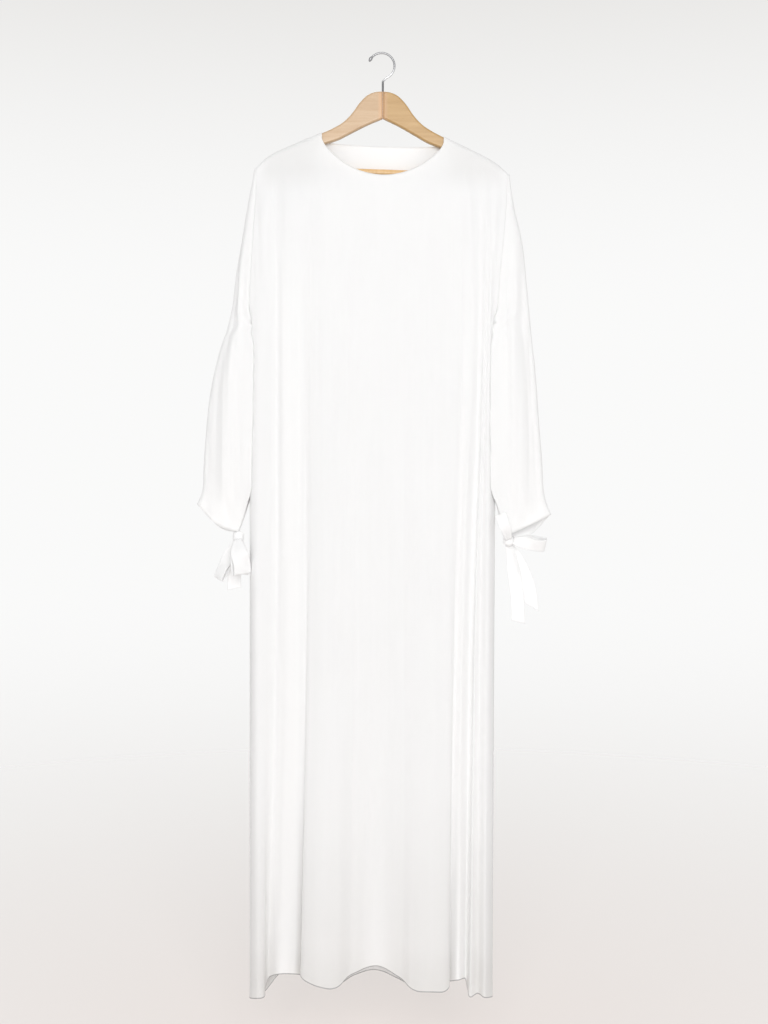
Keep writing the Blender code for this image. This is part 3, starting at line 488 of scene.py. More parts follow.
def fine_shares(step):
    """The rows of the upper part, divided until none is longer than a step."""
    length = NECK_POINT_HEIGHT - UNDERARM_HEIGHT
    shares = []
    for start, end in zip(UPPER_ROWS, UPPER_ROWS[1:]):
        parts = max(2, math.ceil((end - start) * length / step))
        shares.extend(start + (end - start) * part / parts for part in range(parts))
    return np.array(shares + [1.0])


def panel_rows(fold, neck, upper, lower):
    """Heights of a column's rows, from the shoulder or the neck's edge down to the hem."""
    start = shoulder_height(fold["top_x"])
    if in_neck(fold["top_x"]):
        start = scoop_height(fold["top_x"], neck)
        upper = np.maximum(upper - NECK_DROP, 0.0) / (1 - NECK_DROP)
    return np.concatenate((start + upper * (UNDERARM_HEIGHT - start),
                           UNDERARM_HEIGHT + lower * (fold["hem_z"] - UNDERARM_HEIGHT)))


def edge_column(fold, side, face, neck, upper, lower):
    """A panel's edge: the armhole, then the side seam."""
    z = panel_rows(fold, neck, upper, lower)
    low = z[len(upper):]
    seam_x = smooth_through(low, (fold["hem_z"], KNEE_HEIGHT, UNDERARM_HEIGHT),
                            (fold["hem_x"], fold["knee_x"], UNDERARM_X[side]))
    x = np.concatenate((armhole_x(side, upper), seam_x))
    y = np.concatenate((armhole_y(side, upper, fold["chest_y"]), np.full(len(low), SIDE_SEAM_Y)))
    return np.stack((x, y + face * EDGE_INSET, z), axis=1)


def fold_column(fold, face, neck, upper, lower):
    """A column of a panel, through its fold's places at the shoulder, chest, knee and hem."""
    z = panel_rows(fold, neck, upper, lower)
    top = float(shoulder_height(fold["top_x"]))
    x = smooth_through(z, (fold["hem_z"], KNEE_HEIGHT, CHEST_HEIGHT, top),
                       (fold["hem_x"], fold["knee_x"], fold["chest_x"], fold["top_x"]))
    resting = smooth_through(z, (fold["hem_z"], KNEE_HEIGHT, CHEST_HEIGHT),
                             (fold["hem_y"], fold["knee_y"], fold["chest_y"]))
    below = top - z
    near = face * depth_from_hanger(below, np.abs(resting))
    y = np.where(below < FOLD_OVER_RADIUS + YOKE_DROP, near, resting)
    y = np.where(below < 0.01, face * EDGE_INSET, y)
    return np.stack((x, y, z), axis=1)


def panel_grid(folds, face, neck, column_step, row_step):
    """Points of a panel as columns from left to right of rows from top to hem."""
    values = np.array(folds, float)
    last = len(folds) - 1
    length = UNDERARM_HEIGHT - MEAN_HEM
    parts = math.ceil(length / (row_step * LOWER_ROW_STRETCH))
    lower = np.concatenate((np.arange(1, parts) / parts, 1 - np.array(HEM_SHADOW_ROWS) / length, (1.0,)))
    settings = (face, neck, fine_shares(row_step), lower)

    def named(row):
        return dict(zip(FOLD_COLUMNS, row))

    edges = (edge_column(named(values[0]), "left", *settings),
             edge_column(named(values[-1]), "right", *settings))
    beside = (fold_column(named(values[1]), *settings), fold_column(named(values[-2]), *settings))
    columns = []
    for number in range(last):
        change = values[number + 1] - values[number]
        width = max(math.hypot(*change[5:7]), math.hypot(*change[1:3]), SMALLEST_FOLD)
        count = max(2, math.ceil(width / column_step))
        shares = np.arange(count) / count
        if values[number][0] == -NECK_HALF:
            shares = np.array(NECK_SHARES)
        elif values[number + 1][0] == NECK_HALF:
            shares = np.concatenate(([0.0], 1 - np.array(NECK_SHARES[:0:-1])))
        for place in number + shares:
            from_end = min(place, last - place)
            if from_end < 1:
                end = int(place > 1)
                weights = np.array((from_end * from_end, from_end, from_end))
                columns.append(edges[end] + (beside[end] - edges[end]) * weights)
            else:
                columns.append(fold_column(named(across(values, place)), *settings))
    columns.append(edges[1])
    return np.array(columns)


def grid_normals(grid):
    """Unit normals of a grid of points, from its neighbours."""
    return unit(np.cross(np.gradient(grid, axis=1), np.gradient(grid, axis=0)))


def crease_height(x, z, creases):
    """How far the listed creases lift the cloth at x and z."""
    total = np.zeros_like(x)
    for top_x, top_z, low_x, low_z, bow, half_width, height in creases:
        share = (top_z - z) / (top_z - low_z)
        inside = np.clip(share, 0, 1)
        centre = top_x + (low_x - top_x) * share + bow * np.sin(math.pi * inside)
        fade = smoothstep(share / CREASE_FADE_IN)
        if low_z > HEM_REACH:
            fade = fade * under(share, 1, CREASE_FADE_OUT)
        width = half_width * (CREASE_TOP_WIDTH + CREASE_WIDENING * inside)
        total += height * fade * np.exp(-((x - centre) / width) ** 2)
    return total


def streaks(x, z, seed, widths, height):
    """Long, uneven, nearly upright waves, the same on each run."""
    chance = np.random.RandomState(seed)
    total = np.zeros_like(x)
    for width in widths:
        phase = chance.uniform(0, 2 * math.pi, 4)
        slow = chance.uniform(*STREAK_SLOWNESS, 2)
        drift = np.sin(z / slow[0] + phase[0]) * width * STREAK_DRIFT
        swell = 1 - STREAK_SWELL + STREAK_SWELL * np.sin(z / slow[1] + phase[1] + x / STREAK_SKEW)
        total += swell * np.sin(2 * math.pi * (x + drift) / width + phase[2]) * width
    return total * height / sum(widths)


def add_piece(name, data, material, node, place=(0.0, 0.0, 0.0), turn=(0.0, 0.0, 0.0)):
    """A piece of the object, which rides on the root and stands for a CAD node."""
    data.materials.append(material)
    piece = bpy.data.objects.new(name, data)
    OBJECT.objects.link(piece)
    piece.location = place
    piece.rotation_euler = turn
    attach(piece, "root")
    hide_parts(node)
    return piece


def add_shell(name, node, points, faces, material, thickness, tones):
    """A thin wall on a grid of points, smooth shaded, with one tone a point."""
    used, numbered = np.unique(faces, return_inverse=True)
    mesh = bpy.data.meshes.new(name)
    mesh.from_pydata((points[used] * MM).tolist(), [], numbered.reshape(-1, 4).tolist())
    mesh.shade_smooth()
    tone = mesh.attributes.new("tone", "FLOAT", "POINT")
    tone.data.foreach_set("value", tones[used].astype(np.float32))
    piece = add_piece(name, mesh, material, node)
    wall = piece.modifiers.new("wall", "SOLIDIFY")
    wall.thickness = thickness * MM
    wall.offset = 0.0
    return piece


def grid_faces(columns, rows):
    first = np.arange(columns - 1)[:, None] * rows + np.arange(rows - 1)[None, :]
    return np.stack((first, first + 1, first + rows + 1, first + rows), axis=2)


def add_panel(name, node, folds, face, neck, creases, seed, column_step, row_step, material):
    """The front or the back, with its creases, its hem and its tones. Face is -1 in front and 1 behind."""
    grid = panel_grid(folds, face, neck, column_step, row_step)
    columns, rows = grid.shape[:2]
    x, z = grid[:, :, 0], grid[:, :, 2]
    below = shoulder_height(x) - z
    from_side = np.minimum(np.arange(columns), np.arange(columns)[::-1])[:, None]
    fade = over(below, *CREASE_TOP) * smoothstep(from_side / CREASE_SIDE_COLUMNS)
    lift = (crease_height(x, z, creases) + streaks(x, z, seed, *PANEL_STREAKS)) * fade
    from_edge = np.minimum(np.abs(x - x[:1]), np.abs(x - x[-1:]))
    seam = np.exp(-(from_edge / SEAM_HALF_WIDTH) ** 2) * over(below, *SEAM_TOP)
    from_hem = np.linalg.norm(grid - grid[:, -1:, :], axis=2)
    lift += HEM_TURN_HEIGHT * under(from_hem, *HEM_TURN) - SEAM_DIP * seam
    grid = grid + grid_normals(grid) * (-face * lift)[:, :, None]
    tones = hanger_shade(x, z) + lower_shade(x, z)
    # painted light where the front lies double
    if face < 0:
        tones -= doubled_painted_light(x, z)
    # painted shadow: a dark line along the hem's edge
    upper, lower = HEM_SHADOW_ROWS
    tones += (HEM_SHADOW_TONE - tones) * under(from_hem, upper, upper - lower)
    open_column = in_neck(grid[:, 0, 0])
    neck_row = np.searchsorted(fine_shares(row_step), NECK_DROP)
    keep = (np.arange(rows - 1)[None, :] >= neck_row) | ~(open_column[:-1] | open_column[1:])[:, None]
    faces = grid_faces(columns, rows)[keep][:, ::-face]
    return add_shell(name, node, grid.reshape(-1, 3), faces, material, SHELL, tones.ravel()), grid


def hanger_shade(x, z):
    """The shade of the hanger's arms, which show through the cloth."""
    reach = np.abs(x)
    inner = over(reach, *SHADE_START) * (
        SHADE_FIRST_SHARE + (1 - SHADE_FIRST_SHARE) * over(reach, *SHADE_DEEPENS))
    return HANGER_SHADE * inner * under(reach, *SHADE_END) * (1 - under(z, *SHADE_FADE))


def lower_shade(x, z):
    """The shade that shows through the thin cloth toward the hem: 1 is all, and less on raised folds."""
    shade = sum(share * under(z, start, length) for start, length, share in LOWER_SHADE)
    for place, width, share in LIGHTER_FOLDS:
        shade = shade * (1 - share * np.exp(-((x - place) / width) ** 2))
    return shade


def doubled_painted_light(x, z):
    """Painted light where two layers of the front lie together, painted whiter than one: 1 is all."""
    total = np.zeros_like(x)
    for band in DOUBLED_PAINTED_LIGHT_BANDS:
        heights, *values = np.array(band, float).T
        low, high, share = (np.interp(-z, -heights, value) for value in values)
        total += (share * over(x, low - DOUBLED_PAINTED_LIGHT_BLUR / 2, DOUBLED_PAINTED_LIGHT_BLUR)
                  * under(x, high + DOUBLED_PAINTED_LIGHT_BLUR / 2, DOUBLED_PAINTED_LIGHT_BLUR))
    return total


def sleeve_rings(side):
    """A sleeve's rings in the columns of RING_COLUMNS, from the shoulder tip to the cuff."""
    top = shoulder_height(TIP_X[side])
    outline_z, outline_x = np.array(sorted(SLEEVE_OUTLINE[side])).T
    shares = fine_shares(SLEEVE_STEP)
    rings = []
    for share in shares[shares >= UPPER_ROWS[1]]:
        z = top + share * (UNDERARM_HEIGHT - top)
        near_underarm = over(share, ARMHOLE_BEND, 1 - ARMHOLE_BEND)
        clearance = SLEEVE_INSET + (BODY_CLEARANCE - SLEEVE_INSET) * near_underarm
        inner_x = armhole_x(side, share) + OUTWARD[side] * clearance
        outer_x = smooth_through(z, outline_z, outline_x)
        front, back, *seams = (armhole_y(side, reach, folds[0][2])
                               for reach in (min(share, ARMHOLE_BEND), share)
                               for folds in (FRONT_FOLDS, BACK_FOLDS))
        rings.append((outer_x, z, inner_x, z, front, front, back, back, 0, 0, *seams))
    for places, depths in zip(SLEEVE_RINGS[side], RING_DEPTHS):
        rings.append((*places[:4], *depths, *places[4:], SIDE_SEAM_Y, SIDE_SEAM_Y))
    return np.array(rings, float)


def body_side(side, grid, z):
    """The body's outline at one height, from its side seam inward, pushed out by the clearance."""
    columns = grid[:SIDE_COLUMNS] if side == "left" else grid[:-SIDE_COLUMNS - 1:-1]
    outline = np.array([[np.interp(z, column[::-1, 2], column[::-1, axis]) for axis in (0, 1)]
                        for column in columns])
    ahead = unit(np.gradient(outline, axis=0))
    out = np.stack((ahead[:, 1], -ahead[:, 0]), axis=1)
    out *= np.where((out[:, :1] < 0) == (side == "left"), 1.0, -1.0)
    outline = outline + out * BODY_CLEARANCE
    turn = int(np.argmax(np.abs(outline[:, 1] - SIDE_SEAM_Y)))
    outline = outline[:max(turn, 1) + 1]
    return outline[np.argsort(outline[:, 1])]


def ring_path(side, ring, panels):
    """One ring of a sleeve: its front wall beside the body, the outer cloth all round, and its back wall."""
    value = dict(zip(RING_COLUMNS, ring))
    inner_x, inner_z = value["inner_x"], value["inner_z"]
    middle = (value["front_out"] + value["back_out"]) / 2
    eased = np.sin(math.pi / 2 * np.arange(RING_SAMPLES + 1) / RING_SAMPLES)
    close = 1 - under(inner_z, *LEAVING_BODY)
    meeting = WALL_REACH + (MEETING_SHARE - WALL_REACH) * under(inner_z, *LOWERING)
    forward = under(inner_z, *COMING_FORWARD)

    def wall_points(seam_y, corner_y, grid):
        outline = body_side(side, grid, inner_z)
        share = close * min(abs(corner_y - seam_y) / FULL_WALL_DEPTH, 1.0)
        furthest = outline[0, 1] if corner_y < SIDE_SEAM_Y else outline[-1, 1]
        reach = corner_y + (furthest * meeting - corner_y) * share * forward
        y = seam_y + (reach - seam_y) * np.linspace(0.0, 1.0, WALL_SAMPLES)
        hugging = np.interp(y, outline[:, 1], outline[:, 0])
        return np.stack((inner_x + (hugging - inner_x) * share, y, np.full(len(y), inner_z)), axis=1)

    def side_points(inner_y, outer_y, sag, shares):
        x = inner_x + (value["outer_x"] - inner_x) * shares
        z = inner_z + (value["outer_z"] - inner_z) * shares - sag * np.sin(math.pi * shares)
        edge = inner_y + (outer_y - inner_y) * shares
        roundness = (1 - shares ** SLEEVE_CORNER) ** (1 / SLEEVE_CORNER)
        return np.stack((x, middle + (edge - middle) * roundness, z), axis=1)

    front = side_points(value["front_in"], value["front_out"], value["sag_front"], eased)
    back = side_points(value["back_in"], value["back_out"], value["sag_back"], eased[-2::-1])
    start = wall_points(value["front_seam"], value["front_in"], panels["front_cloth"])
    end = wall_points(value["back_seam"], value["back_in"], panels["back_cloth"])[::-1]
    return np.concatenate((start, front[1:], back[:-1], end))


def evenly_spaced(path, count):
    """Points at even steps along a ring, and how far along its outer cloth each one is, from 0 to 1."""
    steps = np.linalg.norm(np.diff(path, axis=0), axis=1)
    reached = np.concatenate(([0.0], np.cumsum(steps)))
    wanted = np.linspace(0.0, reached[-1], count)
    points = np.stack([np.interp(wanted, reached, path[:, axis]) for axis in range(3)], axis=1)
    outer = (wanted - reached[WALL_SAMPLES - 1]) / (reached[-WALL_SAMPLES] - reached[WALL_SAMPLES - 1])
    return points, np.clip(outer, 0.0, 1.0)


def sleeve_detail(side, points, outward):
    """Creases, streaks and fine gathers of a sleeve, in front and behind."""
    x, z = points[:, 0], points[:, 2]
    lift = streaks(x, z, 21 if side == "left" else 22, *SLEEVE_STREAKS)
    lift *= under(z, *SLEEVE_STREAK_TOP)
    for facing in ("front", "back"):
        toward = -outward[:, 1] if facing == "front" else outward[:, 1]
        lift += smoothstep(toward * 2) * crease_height(x, z, SLEEVE_CREASES[side, facing])
    knot = KNOT[side]
    near = under(np.hypot(x - knot[0], z - knot[2]), *GATHER_REACH)
    angle = np.arctan2(x - knot[0], z - knot[2])
    waves, sway = GATHER_UNEVENNESS
    uneven = np.sin(angle * waves) * sway + (outward[:, 1] > 0) * GATHER_BACK_SHIFT
    return lift + near * GATHER_HEIGHT * np.sin(angle * GATHERS_AROUND + uneven)


def sleeve_grid(side, panels):
    """Rings of points down a sleeve, and the number of the ring where the tube starts."""
    rings = sleeve_rings(side)
    stations = -rings[:, 3]
    above = stations[stations <= -UNDERARM_HEIGHT + 0.01]
    below = np.linspace(above[-1], stations[-1], math.ceil((stations[-1] - above[-1]) / SLEEVE_STEP))
    rows = []
    for place in np.concatenate((above, below[1:])):
        ring = smooth_through(place, stations, rings)
        points, share = evenly_spaced(ring_path(side, ring, panels), SLEEVE_COLUMNS + 1)
        ends = smoothstep(share / WAVE_END_SHARE) * under(share, 1, WAVE_END_SHARE)
        along = np.gradient(points, axis=0)
        outward = unit(np.stack([along[:, 1], -along[:, 0], np.zeros(len(points))], axis=1)) * OUTWARD[side]
        mean_z = (ring[1] + ring[3]) / 2
        growth = under(mean_z, *WAVE_GROWTH) * (1 - under(mean_z, *WAVE_CUFF) / 2)
        ripple = SLEEVE_WAVE_HEIGHT * growth * np.cos(2 * math.pi * SLEEVE_WAVES * share)
        rows.append(points + outward * ((ripple + sleeve_detail(side, points, outward)) * ends)[:, None])
    return np.array(rows), len(above) - 1


def add_sleeve(name, side, node, panels, material):
    """A sleeve: open beside the armhole, closed over the shoulder tip, and a tube below the underarm."""
    rows, open_rows = sleeve_grid(side, panels)
    across_ring = np.arange(SLEEVE_COLUMNS)
    after = across_ring + 1
    closed = after % SLEEVE_COLUMNS
    faces = []
    for number in range(len(rows) - 1):
        upper, lower = (start * (SLEEVE_COLUMNS + 1) for start in (number, number + 1))
        faces.append((upper + across_ring, upper + (closed if number >= open_rows else after),
                      lower + (closed if number + 1 >= open_rows else after), lower + across_ring))
    near = np.arange(SLEEVE_COLUMNS // 2 - 1)
    opposite = SLEEVE_COLUMNS - near
    faces.append((near, opposite, opposite - 1, near + 1))
    faces = np.concatenate([np.stack(row, axis=1) for row in faces])[:, ::-OUTWARD[side]]
    # painted light: the sleeves are given most of the whiter doubled-cloth colour
    tones = np.full(rows.size // 3, SLEEVE_PAINTED_LIGHT)
    return add_shell(name, node, rows.reshape(-1, 3), faces, material, SHELL, tones), rows


def strap_grid(route, widths, sideways, steps, gather):
    """A strap along a route: rows of points across it, pinched into small folds where it is gathered."""
    sideways = unit(np.array(sideways))
    last = len(route) - 1
    shares = np.linspace(-0.5, 0.5, STRAP_COLUMNS)
    folds = np.cos(shares * 2 * math.pi * STRAP_GATHERS + STRAP_GATHER_SHIFT)
    folds = folds * under(np.abs(shares), *STRAP_EDGES)
    rows = []
    for place in np.arange(steps * last + 1) / steps:
        behind, before = max(place - ROUTE_STEP, 0), min(place + ROUTE_STEP, last)
        ahead = unit(across(route, before) - across(route, behind))
        width = across(widths, place)
        gathered = np.clip(1 - (width - GATHERED_WIDTH) / STRAP_FLATTENS_OVER, STRAP_FLATTEST, 1)
        lift = gather * gathered * folds
        rows.append(across(route, place) + sideways * (width * shares)[:, None]
                    + np.cross(ahead, sideways) * lift[:, None])
    return np.array(rows)


def opened(width, share):
    """A strap's width on its way from the gathers at the knot to all of it."""
    return GATHERED_WIDTH + (width - GATHERED_WIDTH) * smoothstep(share)


def add_strap(name, node, grid, material):
    tones = np.zeros(grid.size // 3)
    faces = grid_faces(*grid.shape[:2]).reshape(-1, 4)
    piece = add_shell(name, node, grid.reshape(-1, 3), faces, material, STRAP_SHELL, tones)


def add_loop(name, side, toward_x, toward_z, foot_y, middle_y, start, length, width, opening, turned,
             material):
    """A loop of a bow: out from the knot and back, turned about its length."""
    toward = unit(np.array((toward_x, 0.0, toward_z)))
    outward = np.array((0.0, 1.0, 0.0))
    beside = np.cross(toward, outward)
    knot = np.array(KNOT[side])
    foot = start / length
    profile = [(foot, -LOOP_FOOT_OPENING), *LOOP_PROFILE, (foot, LOOP_FOOT_OPENING)]
    route = [knot + toward * length * share
             + outward * (opening * apart + (foot_y if share == foot else middle_y))
             for share, apart in profile]
    widths = [opened(width, share / LOOP_OPENS_BY) for share, _ in profile]
    from_knot = strap_grid(route, widths, beside, LOOP_STEPS, LOOP_GATHERING) - knot
    out = from_knot @ toward
    off_y = from_knot[..., 1] - middle_y
    off_side = from_knot @ beside
    share = over(out / length, *LOOP_TURNS)
    angle = math.radians(turned) * share
    belly = LOOP_BELLY * share * np.sin(math.pi * np.clip(out / length, 0, 1)) * (off_side / width)
    turned_y = off_side * np.sin(angle) + off_y * np.cos(angle) + belly
    turned_side = off_side * np.cos(angle) - off_y * np.sin(angle)
    y = middle_y + off_y + (turned_y - off_y) * share
    grid = knot + out[..., None] * toward + turned_side[..., None] * beside + y[..., None] * outward
    add_strap(name + "_cloth", name, grid, material)


def add_tail(name, side, end_x, end_z, start_y, end_y, start_z, width, slant, material):
    """A tail of a bow, which hangs from the knot, curls a little and ends on a slant."""
    route = [np.array(KNOT[side]) + (end_x * shift, start_y + (end_y - start_y) * share,
                                     start_z + (end_z - start_z) * share) for share, shift in TAIL_PROFILE]
    widths = [opened(width, share / TAIL_OPENS_BY) for share, _ in TAIL_PROFILE]
    grid = strap_grid(route, widths, (1.0, 0.0, 0.0), TAIL_STEPS, TAIL_GATHERING)
    reach = np.linspace(0.0, 1.0, len(grid))[:, None]
    place = np.linspace(-0.5, 0.5, STRAP_COLUMNS)[None, :]
    grid[:, :, 2] += (abs(slant) / 2 - slant * place) * over(reach, *TAIL_SLANTS)
    phase = end_x * 0.07 + end_z * 0.05
    curl = TAIL_CURL[0] * np.sin(reach * TAIL_CURL[1] + phase)
    curl = curl + TAIL_TWIST[0] * place * np.sin(reach * TAIL_TWIST[1] + phase * 2)
    grid[:, :, 1] += curl * over(reach, *TAIL_CURLS)
    add_strap(name + "_cloth", name, grid, material)


def mesh_from(name, shape):
    mesh = bpy.data.meshes.new(name)
    shape.to_mesh(mesh)
    shape.free()
    return mesh


def add_knot(side, material):
    """The knot: a rounded lump with a wrap of strap drawn tight round it."""
    name = "tie_" + side + "_knot"
    slope_x, slope_z, half_width, stands_out = KNOT_WRAP
    lump = bmesh.new()
    bmesh.ops.create_uvsphere(lump, u_segments=56, v_segments=36, radius=1.0)
    for vertex in lump.verts:
        x, y, z = vertex.co
        bulge = 1 - KNOT_BULGES[1] * math.cos(KNOT_BULGES[0] * math.atan2(z, x)) ** 2
        wrap = math.exp(-(((x * slope_x + z * slope_z) / half_width) ** 4))
        lines = KNOT_LINES[1] * math.cos(KNOT_LINES[0] * (x * 0.9 + z * 0.3 + y * 0.15))
        size = 1 - stands_out * (1 - wrap) + lines
        square_x, square_z = (bulge * math.copysign(abs(value) ** KNOT_SQUARENESS, value) for value in (x, z))
        vertex.co = [size * value * half * MM for value, half in zip((square_x, y, square_z), KNOT_HALF)]
    mesh = mesh_from(name + "_cloth", lump)
    mesh.shade_smooth()
    mesh.attributes.new("tone", "FLOAT", "POINT")
    add_piece(name + "_cloth", mesh, material, name, Vector(KNOT[side]) * MM)


def curve_through(name, dimensions, points, bevel, resolution):
    """A curve through points, with a round bevel, and its spline."""
    curve = bpy.data.curves.new(name, "CURVE")
    curve.dimensions = dimensions
    curve.bevel_depth = bevel * MM
    curve.bevel_resolution = resolution
    spline = curve.splines.new("POLY")
    spline.points.add(len(points) - 1)
    for point, place in zip(spline.points, points):
        point.co = (*(value * MM for value in place), 1.0)
    return curve, spline


def arm_outline(side):
    """The outline of one arm: out from the joint along its top, round its nose and back below."""
    top, lower = np.array(ARM_TOP_EDGE).T, np.array(ARM_LOWER_EDGE).T
    points = [(distance, smooth_through(distance, *top)) for distance in np.linspace(0.0, NECK_HALF, 40)]
    for distance in np.linspace(*ARM_UNDER_CLOTH, 28):
        seat = SEAT + ARM_END_DROP * max(distance / ARM_END - ARM_END_DROP_START, 0.0) ** 2
        points.append((distance, shoulder_height(distance) + TILT * distance - seat))
    for turn in np.radians(NOSE_ANGLES):
        points.append((ARM_END - NOSE_HALF_WIDTH + NOSE_HALF_WIDTH * math.cos(turn),
                       NOSE_BOTTOM + NOSE_HALF_HEIGHT + NOSE_HALF_HEIGHT * math.sin(turn)))
    points += [(NOSE_INNER, NOSE_BOTTOM + 0.5), (NOSE_INNER, NOSE_TOP)]
    points += [(distance, smooth_through(distance, *lower))
               for distance in np.linspace(lower[0, -1], 0.0, 44)]
    placed = []
    for distance, height in points:
        x = OUTWARD[side] * max(distance, JOINT_GAP / 2)
        placed.append((x, height - TILT * x, 0.0))
    return placed


def add_arm(side, material):
    name = "hanger_arm_" + side
    curve, spline = curve_through(name + "_wood", "2D", arm_outline(side), ARM_ROUNDING, 5)
    curve.fill_mode = "BOTH"
    curve.extrude = (ARM_THICKNESS / 2 - ARM_ROUNDING) * MM
    curve.offset = -ARM_ROUNDING * MM
    spline.use_cyclic_u = True
    add_piece(name + "_wood", curve, material, name, turn=(math.pi / 2, 0.0, 0.0))


def add_hook(material):
    """The steel wire: a stem, and an open hook with a small ball at its tip."""
    route = [(0.0, STEM_FOOT), (0.0, STEM_FOOT + 5), (0.0, STEM_TOP - 4), (0.15, STEM_TOP)]
    for angle in np.radians(np.linspace(*HOOK_ANGLES, HOOK_STEPS + 1)):
        route.append((HOOK_CENTRE[0] + HOOK_RADIUS * math.cos(angle),
                      HOOK_CENTRE[1] + HOOK_RADIUS * math.sin(angle)))
    points = [(x, 0.0, z) for x, z in route]
    curve, spline = curve_through("hanger_hook_steel", "3D", points, HOOK_WIRE / 2, 6)
    curve.use_fill_caps = True
    for back in range((len(TIP_WIDTHS) - 1) * TIP_STEPS):
        width = np.interp(back / TIP_STEPS, range(len(TIP_WIDTHS)), TIP_WIDTHS)
        spline.points[len(route) - 1 - back].radius = width / HOOK_WIRE
    add_piece("hanger_hook_steel", curve, material, "hanger_hook")


def add_bar(material):
    """The trouser bar, a rod with rounded rims."""
    rod = bmesh.new()
    bmesh.ops.create_cone(rod, cap_ends=True, segments=64, radius1=BAR_DIAMETER / 2 * MM,
                          radius2=BAR_DIAMETER / 2 * MM, depth=2 * (NOSE_INNER - BAR_CLEARANCE) * MM)
    rims = [edge for edge in rod.edges if len(edge.link_faces) == 2
            and any(len(face.verts) > 4 for face in edge.link_faces)]
    bmesh.ops.bevel(rod, geom=rims, offset=BAR_RIM * MM, segments=3, affect="EDGES", profile=0.5)
    mesh = mesh_from("hanger_bar_wood", rod)
    mesh.shade_smooth()
    add_piece("hanger_bar_wood", mesh, material, "hanger_bar",
              (0.0, 0.0, BAR_HEIGHT * MM), (0.0, math.pi / 2 + math.atan(TILT), 0.0))


class Nodes:
    """Short calls for building the nodes of a material or a world."""

    def __init__(self, owner, coordinates="Object"):
        owner.use_nodes = True
        self.owner = owner
        self.tree = owner.node_tree
        self.place = self.add("ShaderNodeTexCoord").outputs[coordinates]

    def feed(self, node, inputs):
        """Links or sets the inputs of a node."""
        for key, value in inputs.items():
            if isinstance(value, bpy.types.NodeSocket):
                self.tree.links.new(value, node.inputs[key])
            else:
                node.inputs[key].default_value = value
        return node

    def add(self, kind, inputs=(), **settings):
        node = self.tree.nodes.new(kind)
        for key, value in settings.items():
            setattr(node, key, value)
        return self.feed(node, dict(inputs))

    def finish(self, name, inputs):
        """Feeds one of the nodes that every material or world starts with."""
        self.feed(self.tree.nodes[name], inputs)
        return self.owner

    def noise(self, size, detail, roughness=0.5, distortion=0.0, turn=0.0):
        place = self.add("ShaderNodeMapping", {"Vector": self.place, "Scale": size,
                                               "Rotation": (0.0, turn, 0.0)})
        return self.add("ShaderNodeTexNoise", {
            "Vector": place.outputs["Vector"], "Scale": 1.0, "Detail": detail, "Roughness": roughness,
            "Distortion": distortion}).outputs["Fac"]

    def mix(self, share, first, second):
        first, second = (value if isinstance(value, bpy.types.NodeSocket) else (*value[:3], 1.0)
                         for value in (first, second))
        return self.add("ShaderNodeMix", {0: share, 6: first, 7: second}, data_type="RGBA").outputs[2]

    def maths(self, operation, first, second=0.0):
        return self.add("ShaderNodeMath", {0: first, 1: second}, operation=operation).outputs[0]

    def scaled_up(self, value, factor, start):
        return self.maths("ADD", self.maths("MULTIPLY", value, factor), start)

    def bump(self, height, distance, strength, **after):
        return self.add("ShaderNodeBump", {"Height": height, "Distance": distance, "Strength": strength,
                                           **after}).outputs["Normal"]

    def ramp(self, value, low, high):
        inputs = {"Value": value, "From Min": low, "From Max": high}
        return self.add("ShaderNodeMapRange", inputs).outputs["Result"]

    def axis(self, name):
        return self.add("ShaderNodeSeparateXYZ", {0: self.place}).outputs[name]


def dimmed(colour, share):
    return tuple(channel * share for channel in colour)


def cloth_material():
    """White crepe: a crinkled fine weave, faint slubs, and the tones of the cloth: painted light where it
    lies double, painted shade and a painted shadow line along the hem.
    """
    nodes = Nodes(bpy.data.materials.new("white_crepe"))
    warp = nodes.noise((1900.0, 1900.0, 520.0), 2.0)
    weft = nodes.noise((520.0, 1900.0, 1900.0), 2.0)
    crinkle = nodes.noise((160.0, 160.0, 110.0), 3.0, 0.6, 0.6)
    weave = nodes.maths("MULTIPLY", warp, weft)
    mottle = nodes.ramp(nodes.noise((14.0, 14.0, 5.0), 3.0), 0.3, 0.7)
    tone = nodes.add("ShaderNodeAttribute", attribute_name="tone").outputs["Fac"]
    shaded = tuple(channel * share for channel, share in zip(CLOTH, SHADED_SHARE))
    base = nodes.mix(mottle, CLOTH, dimmed(CLOTH, 0.985))
    # painted light: the whiter colour of doubled cloth
    base = nodes.mix(nodes.ramp(tone, 0.0, -1.0), base, DOUBLED_PAINTED_LIGHT_COLOUR)
    base = nodes.mix(nodes.ramp(tone, 0.0, 1.0), base, shaded)
    # painted shadow line along the hem's edge
    base = nodes.mix(nodes.ramp(tone, 1.0, HEM_SHADOW_TONE), base, dimmed(CLOTH, HEM_SHADOW_SHARE))
    return nodes.finish("Principled BSDF", {
        "Base Color": base,
        "Roughness": nodes.scaled_up(nodes.ramp(weave, 0.1, 0.5), 0.12, 0.74),
        "Normal": nodes.bump(crinkle, 0.0006, 0.12, Normal=nodes.bump(weave, 0.00025, 0.35)),
        "Subsurface Weight": 0.35, "Subsurface Radius": (1.0, 1.0, 1.0), "Subsurface Scale": 0.004,
        "Sheen Weight": 0.12, "Sheen Roughness": 0.4, "Specular IOR Level": 0.25,
    })


